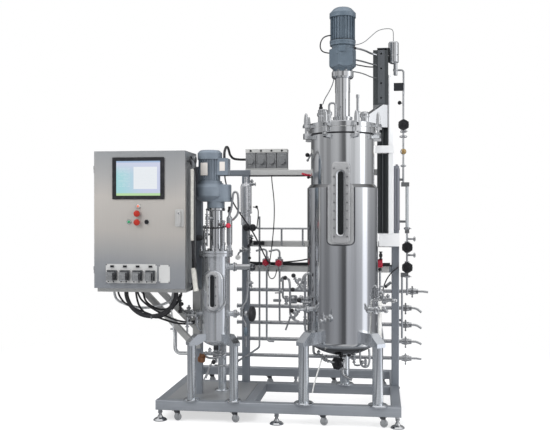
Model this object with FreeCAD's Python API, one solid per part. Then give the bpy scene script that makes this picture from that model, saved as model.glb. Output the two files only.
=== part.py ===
import FreeCAD, Part
import math
import os
from FreeCAD import Vector

# Two-vessel stainless bioreactor skid: a large production vessel, a small seed
# vessel, their gear motors, a lid lift, the control cabinet and the pipework.
# Millimetres, +Z up.  X runs along the front of the skid, +Y towards its back.

# ---- Skid -----------------------------------------------------------------
BASE_WIDTH = 1500.0
BASE_DEPTH = 1180.0
RAIL = 60.0
RAIL_CORNER = 5.0
RAIL_TOP = 129.0
MID_RAIL_Y = 30.0
CROSS_RAIL_X = -170.0
SEED_RAIL_Y = -260.0
TRAY_THICKNESS = 4.0
FOOT_RADIUS = 42.0
FOOT_STEM_RADIUS = 8.0
FOOT_INSET = 22.0
CASTER_WHEEL_RADIUS = 24.0
CASTER_WHEEL_WIDTH = 20.0
CASTER_LIFT = 2.0
CASTER_TRAIL = 8.0
CASTER_TURN = 78.0
CASTER_INSET = 110.0
FRONT_LEFT_CASTER_INSET = 127.0
FRONT_MIDDLE_CASTER = -261.0
REAR_MIDDLE_CASTER = -200.0
RIGHT_MIDDLE_CASTER = 281.0

# ---- Production vessel ----------------------------------------------------
MAIN_X = 388.0
MAIN_Y = -305.0
MAIN_RADIUS = 199.0
MAIN_WALL = 4.0
MAIN_BOTTOM = 488.0
MAIN_DISH = 77.0
MAIN_RIM = 1812.0
MAIN_FLANGE_RADIUS = 209.0
MAIN_FLANGE_THICKNESS = 32.0
JACKET_RADIUS = 222.5
JACKET_WALL = 3.0
JACKET_TOP = 1440.0
JACKET_SHOULDER = 22.0
MAIN_LID_DOME = 24.0
MAIN_LEG_RADIUS = 32.5
MAIN_LEG_TOP = 480.0
MAIN_LEG_SPREAD = 222.5
MAIN_FOOT_RADIUS = 60.0
MAIN_FOOT_THICKNESS = 12.0
MAIN_CLAMPS = 8
MAIN_CLAMP_CIRCLE = 242.0
MAIN_BOLT_RADIUS = 7.0
MAIN_SHAFT_RADIUS = 12.0
MAIN_IMPELLER_RADIUS = 78.0

# ---- Seed vessel ----------------------------------------------------------
SEED_X = -396.0
SEED_Y = -460.0
SEED_RADIUS = 87.5
SEED_WALL = 3.0
SEED_BOTTOM = 497.0
SEED_DISH = 45.0
SEED_RIM = 1032.0
SEED_FLANGE_RADIUS = 106.0
SEED_FLANGE_THICKNESS = 16.0
SEED_LEG_RADIUS = 27.5
SEED_LEG_TOP = 470.0
SEED_LEG_SPREAD = 132.0
SEED_FOOT_RADIUS = 50.0
SEED_CLAMPS = 6
SEED_CLAMP_CIRCLE = 96.0
SEED_SHAFT_RADIUS = 7.0
SEED_IMPELLER_RADIUS = 32.0

# ---- Sight windows: half width, end centres, plate thickness --------------
MAIN_WINDOW_HALF = 57.0
MAIN_PAD_HALF = 79.0
WINDOW_CORNER = 26.0
MAIN_WINDOW_LOW = 1094.0
MAIN_WINDOW_HIGH = 1593.0
MAIN_SLOT_HALF = 17.5
MAIN_SLOT_MARGIN = 58.0
SEED_WINDOW_HALF = 36.0
SEED_WINDOW_LOW = 685.0
SEED_WINDOW_HIGH = 925.0
SEED_SLOT_HALF = 13.5
SEED_SLOT_MARGIN = 22.0
WINDOW_PROUD = 16.0
WINDOW_COVER = 12.0
GLASS_THICKNESS = 10.0

# ---- Drives ---------------------------------------------------------------
MAIN_PEDESTAL_HEIGHT = 298.0
MAIN_GEARBOX_HEIGHT = 181.0
MAIN_MOTOR_HEIGHT = 221.0
MAIN_BOX_ANGLE = 100.0
MAIN_BOX_HEIGHT = 92.0
SEED_PEDESTAL_HEIGHT = 267.0
SEED_GEARBOX_HEIGHT = 153.0
SEED_MOTOR_HEIGHT = 206.0
SEED_MOTOR_OFFSET = 38.0
SEED_BOX_HEIGHT = 106.0
BOX_RISE = 0.24
PEDESTAL_STEP = 0.57

# ---- Support frame --------------------------------------------------------
POST = 50.0
POST_Y = 47.3
RIGHT_POST_X = 725.0
RIGHT_POST_TOP = 1600.0
MID_POST_X = -290.0
TOP_RAIL_Z = 1540.0
TOP_RAIL_HEIGHT = 40.0
UPPER_RAIL_Z = 1056.0
LOWER_RAIL_Z = 886.0

# ---- Lid lift -------------------------------------------------------------
LIFT_X = 640.0
LIFT_BOTTOM = 1150.0
LIFT_ABOVE_RIM = 564.0
LIFT_WIDTH = 73.0
LIFT_DEPTH = 65.0
LIFT_WALL = 6.0
LIFT_MAST = 36.0
MAST_DROP = 179.0
LIFT_PLATE = 10.0
CARRIAGE_WIDTH = 100.0
LIFT_ARM_WIDTH = 44.0

# ---- Control cabinet ------------------------------------------------------
CABINET_WIDTH = 569.0
CABINET_HEIGHT = 834.0
CABINET_RIGHT = -539.0
CABINET_BOTTOM = 826.0
CABINET_FRONT = -682.0
CABINET_DEPTH = 300.0
SHEET = 2.0
DOOR_DEPTH = 22.0
DOOR_GAP = 1.5
SILL_HEIGHT = 26.0
PANEL_WIDTH = 324.0
PANEL_HEIGHT = 254.0
PANEL_INSET = 280.0
PANEL_DROP = 166.0

# ---- Pipework -------------------------------------------------------------
HEADER_RADIUS = 12.7
HEADER_PITCH = 113.0
HEADER_LOW = 305.0
HEADER_LEFT = -353.0
RISER_X = -800.0
HEADER_ENDS = (768.0, 768.0, 768.0, 768.0, 812.0)
TUBE_RADIUS = 9.5
SMALL_TUBE_RADIUS = 6.5
TUBE_WALL = 1.5
CLAMP_RADIUS = 25.0
CLAMP_LENGTH = 14.0
SIDE_X = 777.0
SIDE_Y = 30.0
HANDWHEEL_RADIUS = 38.0
WHEEL_LOBES = 6
KNOB_RADIUS = 9.0

CLEARANCE = 0.3
RUNNING_FIT = 0.05


# ---- Helpers --------------------------------------------------------------
def box(x0, x1, y0, y1, z0, z1):
    """A block between two corners."""
    return Part.makeBox(x1 - x0, y1 - y0, z1 - z0, Vector(x0, y0, z0))


def rod(radius, start, end):
    """A round bar between two points."""
    start, end = Vector(*start), Vector(*end)
    return Part.makeCylinder(radius, (end - start).Length, start, end - start)


def ring(outer, inner, start, end):
    """A round tube between two points."""
    start, end = Vector(*start), Vector(*end)
    length = (end - start).Length
    body = Part.makeCylinder(outer, length, start, end - start)
    return body.cut(Part.makeCylinder(inner, length, start, end - start))


def taper(radius0, radius1, start, end):
    """A cone between two points."""
    start, end = Vector(*start), Vector(*end)
    return Part.makeCone(radius0, radius1, (end - start).Length, start, end - start)


def turned(outline, x, y, z=0.0):
    """A solid turned about a vertical axis from (radius, height) points."""
    points = [Vector(x + r, y, z + h) for r, h in outline]
    face = Part.Face(Part.makePolygon(points + points[:1]))
    return face.revolve(Vector(x, y, 0), Vector(0, 0, 1), 360)


def turned_along(outline, start, direction):
    """A turned solid whose axis leaves a point in any direction."""
    points = [Vector(r, 0, h) for r, h in outline]
    face = Part.Face(Part.makePolygon(points + points[:1]))
    solid = face.revolve(Vector(0, 0, 0), Vector(0, 0, 1), 360)
    turn = FreeCAD.Rotation(Vector(0, 0, 1), Vector(*direction))
    solid.Placement = FreeCAD.Placement(Vector(*start), turn)
    return solid


def rounded_path(points, bend):
    """Straight runs joined by tangent arcs of one radius."""
    points = [Vector(*p) for p in points]
    edges = []
    last = points[0]
    for before, corner, after in zip(points, points[1:], points[2:]):
        back = (before - corner).normalize()
        ahead = (after - corner).normalize()
        half = (math.pi - back.getAngle(ahead)) / 2
        reach = bend * math.tan(half)
        into, out = corner + back * reach, corner + ahead * reach
        middle = corner + (back + ahead).normalize() * (bend / math.cos(half) - bend)
        if (into - last).Length > 1e-6:
            edges.append(Part.LineSegment(last, into).toShape())
        edges.append(Part.Arc(into, middle, out).toShape())
        last = out
    edges.append(Part.LineSegment(last, points[-1]).toShape())
    return Part.Wire(edges)


def bent(radius, points, bend):
    """A round bar swept along straight runs and tangent arcs."""
    path = rounded_path(points, bend)
    start = Vector(*points[0])
    circle = Part.makeCircle(radius, start, Vector(*points[1]) - start)
    return path.makePipeShell([Part.Wire(circle)], True, True)


def cord(name, radius, points):
    """A cable whose arcs are as large as the two runs beside each corner allow."""
    points = [Vector(*p) for p in points]
    edges = []
    last = points[0]
    radii = []
    for before, corner, after in zip(points, points[1:], points[2:]):
        back, ahead = before - corner, after - corner
        reach = 0.45 * min(back.Length, ahead.Length)
        back.normalize()
        ahead.normalize()
        half = (math.pi - back.getAngle(ahead)) / 2
        bend = reach / math.tan(half)
        radii.append(bend / (2 * radius))
        into, out = corner + back * reach, corner + ahead * reach
        middle = corner + (back + ahead).normalize() * (bend / math.cos(half) - bend)
        edges.append(Part.LineSegment(last, into).toShape())
        edges.append(Part.Arc(into, middle, out).toShape())
        last = out
    edges.append(Part.LineSegment(last, points[-1]).toShape())
    path = Part.Wire(edges)
    circle = Part.makeCircle(radius, points[0], points[1] - points[0])
    solid = path.makePipeShell([Part.Wire(circle)], True, True)
    share = solid.Volume / (math.pi * radius ** 2 * path.Length)
    print(name, "bends in diameters", [round(r, 1) for r in radii], "volume share", round(share, 4))
    return solid


def tube(radius, points, bend=None, wall=TUBE_WALL):
    """An open-ended pipe along straight runs and tangent arcs."""
    if len(points) == 2:
        return ring(radius, radius - wall, points[0], points[1])
    bend = bend or 3.0 * radius
    return bent(radius, points, bend).cut(bent(radius - wall, points, bend))


def square_bar(size, x0, x1, y0, y1, z0, z1, corner=RAIL_CORNER):
    """A square section with rounded long edges, laid between two corners."""
    block = box(x0, x1, y0, y1, z0, z1)
    spans = (x1 - x0, y1 - y0, z1 - z0)
    long_way = spans.index(max(spans))
    edges = []
    for edge in block.Edges:
        along = edge.Vertexes[1].Point - edge.Vertexes[0].Point
        if abs(along[long_way]) > spans[long_way] - 0.01:
            edges.append(edge)
    return block.makeFillet(min(corner, size / 4), edges)


def obround(half, low, high, x, y0, y1):
    """A prism with round ends, upright in XZ, running from y0 to y1."""
    bottom, top = low + half, high - half
    right = Part.LineSegment(Vector(x + half, y0, bottom), Vector(x + half, y0, top))
    over = Part.Arc(Vector(x + half, y0, top), Vector(x, y0, high), Vector(x - half, y0, top))
    left = Part.LineSegment(Vector(x - half, y0, top), Vector(x - half, y0, bottom))
    under = Part.Arc(Vector(x - half, y0, bottom), Vector(x, y0, low), Vector(x + half, y0, bottom))
    wire = Part.Wire([side.toShape() for side in (right, over, left, under)])
    return Part.Face(wire).extrude(Vector(0, y1 - y0, 0))


def hexagon(across, start, end):
    """A hexagonal bar between two points."""
    start, end = Vector(*start), Vector(*end)
    corner = across / math.sqrt(3)
    points = []
    for index in range(7):
        angle = math.radians(60 * index)
        points.append(Vector(corner * math.cos(angle), corner * math.sin(angle), 0))
    solid = Part.Face(Part.makePolygon(points)).extrude(Vector(0, 0, (end - start).Length))
    turn = FreeCAD.Rotation(Vector(0, 0, 1), end - start)
    solid.Placement = FreeCAD.Placement(start, turn)
    return solid


def fused(*solids):
    """Several touching solids joined into one."""
    whole = solids[0].fuse(list(solids[1:]))
    return whole.removeSplitter()


def around(x, y, circle, count, first=0.0):
    """Evenly spaced (x, y, angle) places on a circle."""
    for index in range(count):
        angle = math.radians(first + 360.0 * index / count)
        yield x + circle * math.cos(angle), y + circle * math.sin(angle), angle


# ---- Skid -----------------------------------------------------------------
HALF_WIDTH = BASE_WIDTH / 2
HALF_DEPTH = BASE_DEPTH / 2
FRONT_RAIL_Y = -HALF_DEPTH + RAIL / 2
REAR_RAIL_Y = HALF_DEPTH - RAIL / 2
RAIL_BOTTOM = RAIL_TOP - RAIL


def base_frame():
    """The welded floor frame, each square tube a solid of its own."""
    inner = HALF_WIDTH - RAIL
    half = RAIL / 2
    rails = []
    for y in (FRONT_RAIL_Y, REAR_RAIL_Y):
        rails.append(square_bar(RAIL, -HALF_WIDTH, HALF_WIDTH, y - half, y + half,
                                RAIL_BOTTOM, RAIL_TOP))
    for x in (-HALF_WIDTH + half, HALF_WIDTH - half):
        rails.append(square_bar(RAIL, x - half, x + half, FRONT_RAIL_Y + half,
                                REAR_RAIL_Y - half, RAIL_BOTTOM, RAIL_TOP))
    rails.append(square_bar(RAIL, -inner, inner, MID_RAIL_Y - half, MID_RAIL_Y + half,
                            RAIL_BOTTOM, RAIL_TOP))
    rails.append(square_bar(RAIL, CROSS_RAIL_X - half, CROSS_RAIL_X + half,
                            FRONT_RAIL_Y + half, MID_RAIL_Y - half, RAIL_BOTTOM, RAIL_TOP))
    rails.append(square_bar(RAIL, -inner, CROSS_RAIL_X - half, SEED_RAIL_Y - half,
                            SEED_RAIL_Y + half, RAIL_BOTTOM, RAIL_TOP - TRAY_THICKNESS))
    return rails


def seed_tray():
    """The folded sheet tray that lies between the rails under the seed vessel."""
    left, right = -HALF_WIDTH + RAIL, CROSS_RAIL_X - RAIL / 2
    front, back = FRONT_RAIL_Y + RAIL / 2, MID_RAIL_Y - RAIL / 2
    top = box(left, right, front, back, RAIL_TOP - TRAY_THICKNESS, RAIL_TOP)
    lip = 24.0
    lips = [box(left, right, front, front + TRAY_THICKNESS, RAIL_TOP - lip, RAIL_TOP),
            box(left, right, back - TRAY_THICKNESS, back, RAIL_TOP - lip, RAIL_TOP)]
    return [fused(top, *lips)]


def levelling_feet():
    """Bell-shaped stainless feet with a threaded stem and a lock nut."""
    feet = []
    for x in (-HALF_WIDTH + FOOT_INSET, 0.0, HALF_WIDTH - FOOT_INSET):
        for y in (FRONT_RAIL_Y, REAR_RAIL_Y):
            bell = turned([(0, 0), (FOOT_RADIUS, 0), (FOOT_RADIUS, 5), (FOOT_RADIUS - 8, 13),
                           (18, 20), (13, 32), (0, 32)], x, y)
            stem = rod(FOOT_STEM_RADIUS, (x, y, 30), (x, y, RAIL_BOTTOM))
            nut = hexagon(24, (x, y, RAIL_BOTTOM - 12), (x, y, RAIL_BOTTOM))
            feet.append(fused(bell, stem, nut))
    return feet


def caster_places():
    """Where the small swivel casters are bolted under the front and rear rails."""
    right = HALF_WIDTH - CASTER_INSET
    for x in (-HALF_WIDTH + FRONT_LEFT_CASTER_INSET, FRONT_MIDDLE_CASTER, RIGHT_MIDDLE_CASTER, right):
        yield x, FRONT_RAIL_Y
    for x in (-HALF_WIDTH + CASTER_INSET, REAR_MIDDLE_CASTER, RIGHT_MIDDLE_CASTER, right):
        yield x, REAR_RAIL_Y


def swivelled(solid, x, y):
    """Turn a caster's part about its swivel."""
    solid.rotate(Vector(x, y, 0), Vector(0, 0, 1), CASTER_TURN)
    return solid


def caster_forks():
    """Swivel heads with two cheeks and the wheel axle."""
    forks = []
    axle_z = CASTER_LIFT + CASTER_WHEEL_RADIUS
    inside = CASTER_WHEEL_WIDTH / 2 + 1.0
    for x, y in caster_places():
        plate = box(x - 24, x + 24, y - 22, y + 22, RAIL_BOTTOM - 3, RAIL_BOTTOM)
        race = rod(17, (x, y, RAIL_BOTTOM - 12), (x, y, RAIL_BOTTOM - 3))
        crown = box(x - inside - 3, x + inside + 3, y - 16, y + 12,
                    RAIL_BOTTOM - 15, RAIL_BOTTOM - 12)
        fork = [swivelled(crown, x, y)]
        for side in (-1, 1):
            near, far = x + side * inside, x + side * (inside + 3)
            cheek = box(min(near, far), max(near, far), y - 16, y + 6,
                        axle_z - 7, RAIL_BOTTOM - 12)
            fork.append(swivelled(cheek, x, y))
        axle_y = y - CASTER_TRAIL
        axle = rod(3, (x - inside - 5, axle_y, axle_z), (x + inside + 5, axle_y, axle_z))
        forks.append(fused(plate, race, swivelled(axle, x, y), *fork))
    return forks


def caster_wheels():
    """Grey caster wheels, rounded at the tread and bored for the axle."""
    wheels = []
    axle_z = CASTER_LIFT + CASTER_WHEEL_RADIUS
    half, tread, bore = CASTER_WHEEL_WIDTH / 2, CASTER_WHEEL_RADIUS, 3 + RUNNING_FIT
    outline = [(bore, -half), (12, -half), (14, 3 - half), (tread - 4, 3 - half), (tread, 7 - half),
               (tread, half - 7), (tread - 4, half - 3), (14, half - 3), (12, half), (bore, half)]
    for x, y in caster_places():
        wheel = turned_along(outline, (x, y - CASTER_TRAIL, axle_z), (1, 0, 0))
        wheels.append(swivelled(wheel, x, y))
    return wheels


# ---- Vessels --------------------------------------------------------------
def dished(radius, height, x, y, z, up=1):
    """A dished end on the plane z: a knuckle arc that runs into a crown arc."""
    knuckle = 0.35 * height
    reach = radius - knuckle
    crown = (reach ** 2 + height ** 2 - knuckle ** 2) / (2 * (height - knuckle))
    slope = math.atan2(crown - height, reach)

    def point(r, h):
        """The place at a radius and a height above the end's plane."""
        return Vector(x + r, y, z + up * h)

    def on_knuckle(angle):
        """The knuckle arc's point at an angle."""
        return point(reach + knuckle * math.cos(angle), knuckle * math.sin(angle))

    def on_crown(angle):
        """The crown arc's point at an angle."""
        return point(crown * math.cos(angle), height - crown + crown * math.sin(angle))

    top = point(0, height)
    join = on_crown(slope)
    edges = [Part.LineSegment(point(0, 0), point(radius, 0)),
             Part.Arc(point(radius, 0), on_knuckle(slope / 2), join),
             Part.Arc(join, on_crown((slope + math.pi / 2) / 2), top),
             Part.LineSegment(top, point(0, 0))]
    face = Part.Face(Part.Wire([edge.toShape() for edge in edges]))
    return face.revolve(Vector(x, y, 0), Vector(0, 0, 1), 360)


def vessel_body(x, y, radius, bottom, dish, top):
    """A plain cylinder on a dished bottom."""
    return fused(dished(radius, dish, x, y, bottom, -1), rod(radius, (x, y, bottom), (x, y, top)))


def clamp_lugs(x, y, circle, count, first, root, z0, z1, gap, plate):
    """Pairs of fork plates, standing out radially, that hold the swing bolts."""
    lugs = []
    for index in range(count):
        angle = first + 360.0 * index / count
        for side in (-1, 1):
            inner = side * gap / 2
            outer = side * (gap / 2 + plate)
            lug = box(root, circle + 14, min(inner, outer), max(inner, outer), z0, z1)
            hole = rod(MAIN_BOLT_RADIUS * 0.75, (circle, -40, (z0 + z1) / 2),
                       (circle, 40, (z0 + z1) / 2))
            lug = lug.cut(hole)
            lug.translate(Vector(x, y, 0))
            lug.rotate(Vector(x, y, 0), Vector(0, 0, 1), angle)
            lugs.append(lug)
    return lugs


MAIN_CLAMP_FIRST = 22.5
SEED_CLAMP_FIRST = 30.0
MAIN_EYE_Z = MAIN_RIM - MAIN_FLANGE_THICKNESS - 22.0
GASKET = 3.0
MAIN_LID_PLATE = 28.0
MAIN_LID_Z = MAIN_RIM + GASKET
SEED_LID_PLATE = 15.0
SEED_LID_Z = SEED_RIM + GASKET
BOTTOM_NOZZLE = 25.0


def rounded_plate(half, low, high, x, y0, y1):
    """An upright plate with rounded corners, running from y0 to y1."""
    plate = box(x - half, x + half, y0, y1, low, high)
    return plate.makeFillet(WINDOW_CORNER, [e for e in plate.Edges if e.BoundBox.YLength > 1])


def main_window(y1):
    """The production vessel's window neck: a wide pad on the jacket, a narrower head above."""
    face = main_face_y()
    pad = rounded_plate(MAIN_PAD_HALF, MAIN_WINDOW_LOW, JACKET_TOP + JACKET_SHOULDER, MAIN_X, face, y1)
    head = rounded_plate(MAIN_WINDOW_HALF, MAIN_WINDOW_LOW + 2 * WINDOW_CORNER, MAIN_WINDOW_HIGH,
                         MAIN_X, face, y1)
    return fused(pad, head)


def main_face_y():
    """Front of the production vessel's window neck, just proud of the jacket."""
    return MAIN_Y - JACKET_RADIUS - WINDOW_PROUD


def seed_face_y():
    """Front of the seed vessel's window neck."""
    return SEED_Y - SEED_RADIUS - WINDOW_PROUD


def nozzle_bores(x, y, radius, ports):
    """Holes through a vessel wall for its side ports."""
    bores = []
    for angle, z, bore in ports:
        ahead = (math.cos(math.radians(angle)), math.sin(math.radians(angle)))
        end = (x + ahead[0] * (radius + 60), y + ahead[1] * (radius + 60), z)
        bores.append(rod(bore, (x, y, z), end))
    return bores


PORT_BORE = 11.0
MAIN_PORTS = [(180.0, 735.0, PORT_BORE), (215.0, 690.0, PORT_BORE), (250.0, 640.0, PORT_BORE),
              (0.0, 735.0, PORT_BORE), (325.0, 690.0, PORT_BORE)]
SEED_PORTS = [(180.0, 655.0, PORT_BORE), (0.0, 655.0, PORT_BORE), (0.0, 948.0, PORT_BORE + 5)]


def main_vessel():
    """The production vessel: shell, dished bottom, flange, lugs and side ports."""
    x, y = MAIN_X, MAIN_Y
    inner = MAIN_RADIUS - MAIN_WALL
    shell = vessel_body(x, y, MAIN_RADIUS, MAIN_BOTTOM, MAIN_DISH, MAIN_RIM)
    flange = rod(MAIN_FLANGE_RADIUS, (x, y, MAIN_RIM - MAIN_FLANGE_THICKNESS), (x, y, MAIN_RIM))
    lugs = clamp_lugs(x, y, MAIN_CLAMP_CIRCLE, MAIN_CLAMPS, MAIN_CLAMP_FIRST, MAIN_RADIUS - 2,
                      MAIN_EYE_Z - 14, MAIN_RIM - MAIN_FLANGE_THICKNESS, 18, 6)
    drain = rod(BOTTOM_NOZZLE, (x, y, MAIN_BOTTOM - MAIN_DISH - 34), (x, y, MAIN_BOTTOM - 30))
    outside = fused(shell, flange, drain, *lugs)
    hollow = vessel_body(x, y, inner, MAIN_BOTTOM, MAIN_DISH - MAIN_WALL, MAIN_RIM + 1)
    bore = rod(BOTTOM_NOZZLE - 4, (x, y, MAIN_BOTTOM - MAIN_DISH - 40), (x, y, MAIN_BOTTOM))
    neck = main_window(y)
    cuts = [bore, neck] + nozzle_bores(x, y, MAIN_RADIUS, MAIN_PORTS)
    return [outside.cut(hollow).cut(cuts)]


def main_jacket():
    """The heating jacket: a thin skin with a conical shoulder and a dished bottom."""
    x, y = MAIN_X, MAIN_Y
    gap = MAIN_RADIUS + CLEARANCE
    top = JACKET_TOP + JACKET_SHOULDER
    skin = vessel_body(x, y, JACKET_RADIUS, MAIN_BOTTOM, MAIN_DISH + 22, JACKET_TOP)
    shoulder = taper(JACKET_RADIUS, gap + JACKET_WALL, (x, y, JACKET_TOP), (x, y, top))
    inner_skin = vessel_body(x, y, JACKET_RADIUS - JACKET_WALL, MAIN_BOTTOM,
                             MAIN_DISH + 22 - JACKET_WALL, JACKET_TOP)
    inner_cone = taper(JACKET_RADIUS - JACKET_WALL, gap, (x, y, JACKET_TOP), (x, y, top))
    through = rod(gap, (x, y, JACKET_TOP), (x, y, top + 1))
    drain = rod(BOTTOM_NOZZLE + CLEARANCE, (x, y, MAIN_BOTTOM - MAIN_DISH - 60), (x, y, MAIN_BOTTOM))
    neck = main_window(y)
    cuts = [inner_skin, inner_cone, through, drain, neck]
    cuts += nozzle_bores(x, y, JACKET_RADIUS, [(a, z, r + 5 + CLEARANCE) for a, z, r in MAIN_PORTS])
    return [fused(skin, shoulder).cut(cuts)]


def port_nozzle(x, y, inner_radius, reach, angle, z, bore):
    """A ferruled nozzle that stands out of a vessel wall."""
    ahead = Vector(math.cos(math.radians(angle)), math.sin(math.radians(angle)), 0)
    wall = 5.0
    outline = [(bore, 0), (bore + wall, 0), (bore + wall, reach - 12), (bore + 13, reach - 5),
               (bore + 13, reach), (bore, reach)]
    start = Vector(x, y, z) + ahead * inner_radius
    return turned_along(outline, start, ahead)


def main_nozzles():
    """The side nozzles, from the inner shell out through the jacket."""
    reach = JACKET_RADIUS - MAIN_RADIUS + 38
    nozzles = []
    for angle, z, bore in MAIN_PORTS:
        nozzle = port_nozzle(MAIN_X, MAIN_Y, MAIN_RADIUS - 3, reach + 3, angle, z, bore)
        shell = rod(MAIN_RADIUS, (MAIN_X, MAIN_Y, z - 60), (MAIN_X, MAIN_Y, z + 60))
        nozzles.append(nozzle.cut(shell))
    return nozzles


def window_slot(half, low, high, margin, x, y0, y1):
    """The see-through slot of a sight window."""
    return obround(half, low + margin, high - margin, x, y0, y1)


def sight_frame(neck, cover, x, y, face_y, low, high, slot_half, margin, inner_radius):
    """A window's neck, cut back to the inner wall, and its cover plate, both slotted."""
    neck = neck.cut(rod(inner_radius, (x, y, low - 10), (x, y, high + 10)))
    neck = neck.cut(window_slot(slot_half, low, high, margin, x, face_y - 5, y))
    rebate = obround(slot_half + 9, low + margin - 9, high - margin + 9, x,
                     face_y - 1, face_y + GLASS_THICKNESS)
    cover_front = face_y - WINDOW_COVER
    cover = cover.makeFillet(3.0, [e for e in cover.Edges if e.BoundBox.YMax < cover_front + 0.01])
    cover = cover.cut(window_slot(slot_half, low, high, margin, x, cover_front - 5, face_y + 5))
    return [neck.cut(rebate), cover]


def window_screws(x, face_y, across, low, high, rows):
    """Hexagon screws down both sides of a window's cover plate."""
    cover_front = face_y - WINDOW_COVER
    screws = []
    for row in range(rows):
        z = low + (high - low) * row / (rows - 1)
        for place in (x - across, x + across):
            screws.append(hexagon(11, (place, cover_front - 7, z), (place, cover_front, z)))
    return screws


def main_sight_frame():
    """The long window of the production vessel, with a square-cornered cover."""
    face = main_face_y()
    cover = rounded_plate(MAIN_WINDOW_HALF - 3, MAIN_WINDOW_LOW + 10, MAIN_WINDOW_HIGH - 3,
                          MAIN_X, face - WINDOW_COVER, face)
    screws = window_screws(MAIN_X, face, MAIN_WINDOW_HALF - 18, MAIN_WINDOW_LOW + 48,
                           MAIN_WINDOW_HIGH - 40, 9)
    return sight_frame(main_window(MAIN_Y), cover, MAIN_X, MAIN_Y, face, MAIN_WINDOW_LOW,
                       MAIN_WINDOW_HIGH, MAIN_SLOT_HALF, MAIN_SLOT_MARGIN,
                       MAIN_RADIUS - MAIN_WALL) + screws


def seed_sight_frame():
    """The short window of the seed vessel, with a round-ended cover."""
    face = seed_face_y()
    half, low, high = SEED_WINDOW_HALF, SEED_WINDOW_LOW, SEED_WINDOW_HIGH
    neck = obround(half, low, high, SEED_X, face, SEED_Y)
    cover = obround(half - 4, low + 4, high - 4, SEED_X, face - WINDOW_COVER, face)
    screws = window_screws(SEED_X, face, (half - 4 + SEED_SLOT_HALF) / 2, low + half, high - half, 4)
    return sight_frame(neck, cover, SEED_X, SEED_Y, face, low, high, SEED_SLOT_HALF,
                       SEED_SLOT_MARGIN, SEED_RADIUS - SEED_WALL) + screws


def sight_glass(x, face_y, low, high, slot_half, margin):
    """The glass strip that lies in the rebate behind the cover."""
    reach = 9 - CLEARANCE
    return [obround(slot_half + reach, low + margin - reach, high - margin + reach, x,
                    face_y, face_y + GLASS_THICKNESS)]


def main_sight_glass():
    """The production vessel's glass."""
    return sight_glass(MAIN_X, main_face_y(), MAIN_WINDOW_LOW, MAIN_WINDOW_HIGH,
                       MAIN_SLOT_HALF, MAIN_SLOT_MARGIN)


def seed_sight_glass():
    """The seed vessel's glass."""
    return sight_glass(SEED_X, seed_face_y(), SEED_WINDOW_LOW, SEED_WINDOW_HIGH,
                       SEED_SLOT_HALF, SEED_SLOT_MARGIN)


def seed_vessel():
    """The seed vessel: shell, dished bottom, flange, lugs and side bores."""
    x, y = SEED_X, SEED_Y
    shell = vessel_body(x, y, SEED_RADIUS, SEED_BOTTOM, SEED_DISH, SEED_RIM)
    flange = rod(SEED_FLANGE_RADIUS, (x, y, SEED_RIM - SEED_FLANGE_THICKNESS), (x, y, SEED_RIM))
    drain = rod(16, (x, y, SEED_BOTTOM - SEED_DISH - 25), (x, y, SEED_BOTTOM - 20))
    outside = fused(shell, flange, drain)
    hollow = vessel_body(x, y, SEED_RADIUS - SEED_WALL, SEED_BOTTOM, SEED_DISH - SEED_WALL, SEED_RIM + 1)
    bore = rod(12, (x, y, SEED_BOTTOM - SEED_DISH - 30), (x, y, SEED_BOTTOM))
    neck = obround(SEED_WINDOW_HALF, SEED_WINDOW_LOW, SEED_WINDOW_HIGH, x, seed_face_y(), y)
    cuts = [bore, neck] + nozzle_bores(x, y, SEED_RADIUS, SEED_PORTS)
    for px, py, angle in around(x, y, SEED_CLAMP_CIRCLE, SEED_CLAMPS, SEED_CLAMP_FIRST):
        cuts.append(rod(5.5, (px, py, SEED_RIM - 30), (px, py, SEED_RIM + 1)))
    solids = [outside.cut(hollow).cut(cuts)]
    shell_cut = rod(SEED_RADIUS, (x, y, SEED_BOTTOM), (x, y, SEED_RIM))
    for angle, z, port in SEED_PORTS:
        solids.append(port_nozzle(x, y, SEED_RADIUS - 3, 35, angle, z, port).cut(shell_cut))
    return solids


def leg_places(x, spread, back_y):
    """Two front legs on the front rail and one at the back."""
    return [(x - spread, FRONT_RAIL_Y), (x + spread, FRONT_RAIL_Y), (x, back_y)]


def vessel_leg(x, y, leg_x, leg_y, radius, top, wall_radius, wall_bottom, foot_radius, rise):
    """A tubular leg on a round foot plate, with a box bracket to the vessel wall."""
    foot_top = RAIL_TOP + MAIN_FOOT_THICKNESS
    foot = turned([(0, 0), (foot_radius, 0), (foot_radius, 7), (foot_radius - 6, MAIN_FOOT_THICKNESS),
                   (0, MAIN_FOOT_THICKNESS)], leg_x, leg_y, RAIL_TOP)
    column = ring(radius, radius - 3.0, (leg_x, leg_y, foot_top), (leg_x, leg_y, top))
    distance = math.hypot(leg_x - x, leg_y - y)
    angle = math.degrees(math.atan2(leg_y - y, leg_x - x))
    outline = [(distance + radius, top), (distance + radius, top + rise * 0.3),
               (distance - radius, top + rise), (wall_radius - 14, top + rise),
               (wall_radius - 14, wall_bottom + 2), (distance - radius, top)]
    points = [Vector(x + r, y - radius, z) for r, z in outline]
    bracket = Part.Face(Part.makePolygon(points + points[:1])).extrude(Vector(0, 2 * radius, 0))
    bracket = bracket.cut(rod(wall_radius, (x, y, wall_bottom - 60), (x, y, top + rise + 40)))
    bracket.rotate(Vector(x, y, 0), Vector(0, 0, 1), angle)
    return [foot, column, bracket]


def main_legs():
    """Three legs of the production vessel."""
    solids = []
    for leg_x, leg_y in leg_places(MAIN_X, MAIN_LEG_SPREAD, MID_RAIL_Y):
        solids += vessel_leg(MAIN_X, MAIN_Y, leg_x, leg_y, MAIN_LEG_RADIUS, MAIN_LEG_TOP,
                             JACKET_RADIUS, MAIN_BOTTOM, MAIN_FOOT_RADIUS, 78)
    return solids


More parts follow.
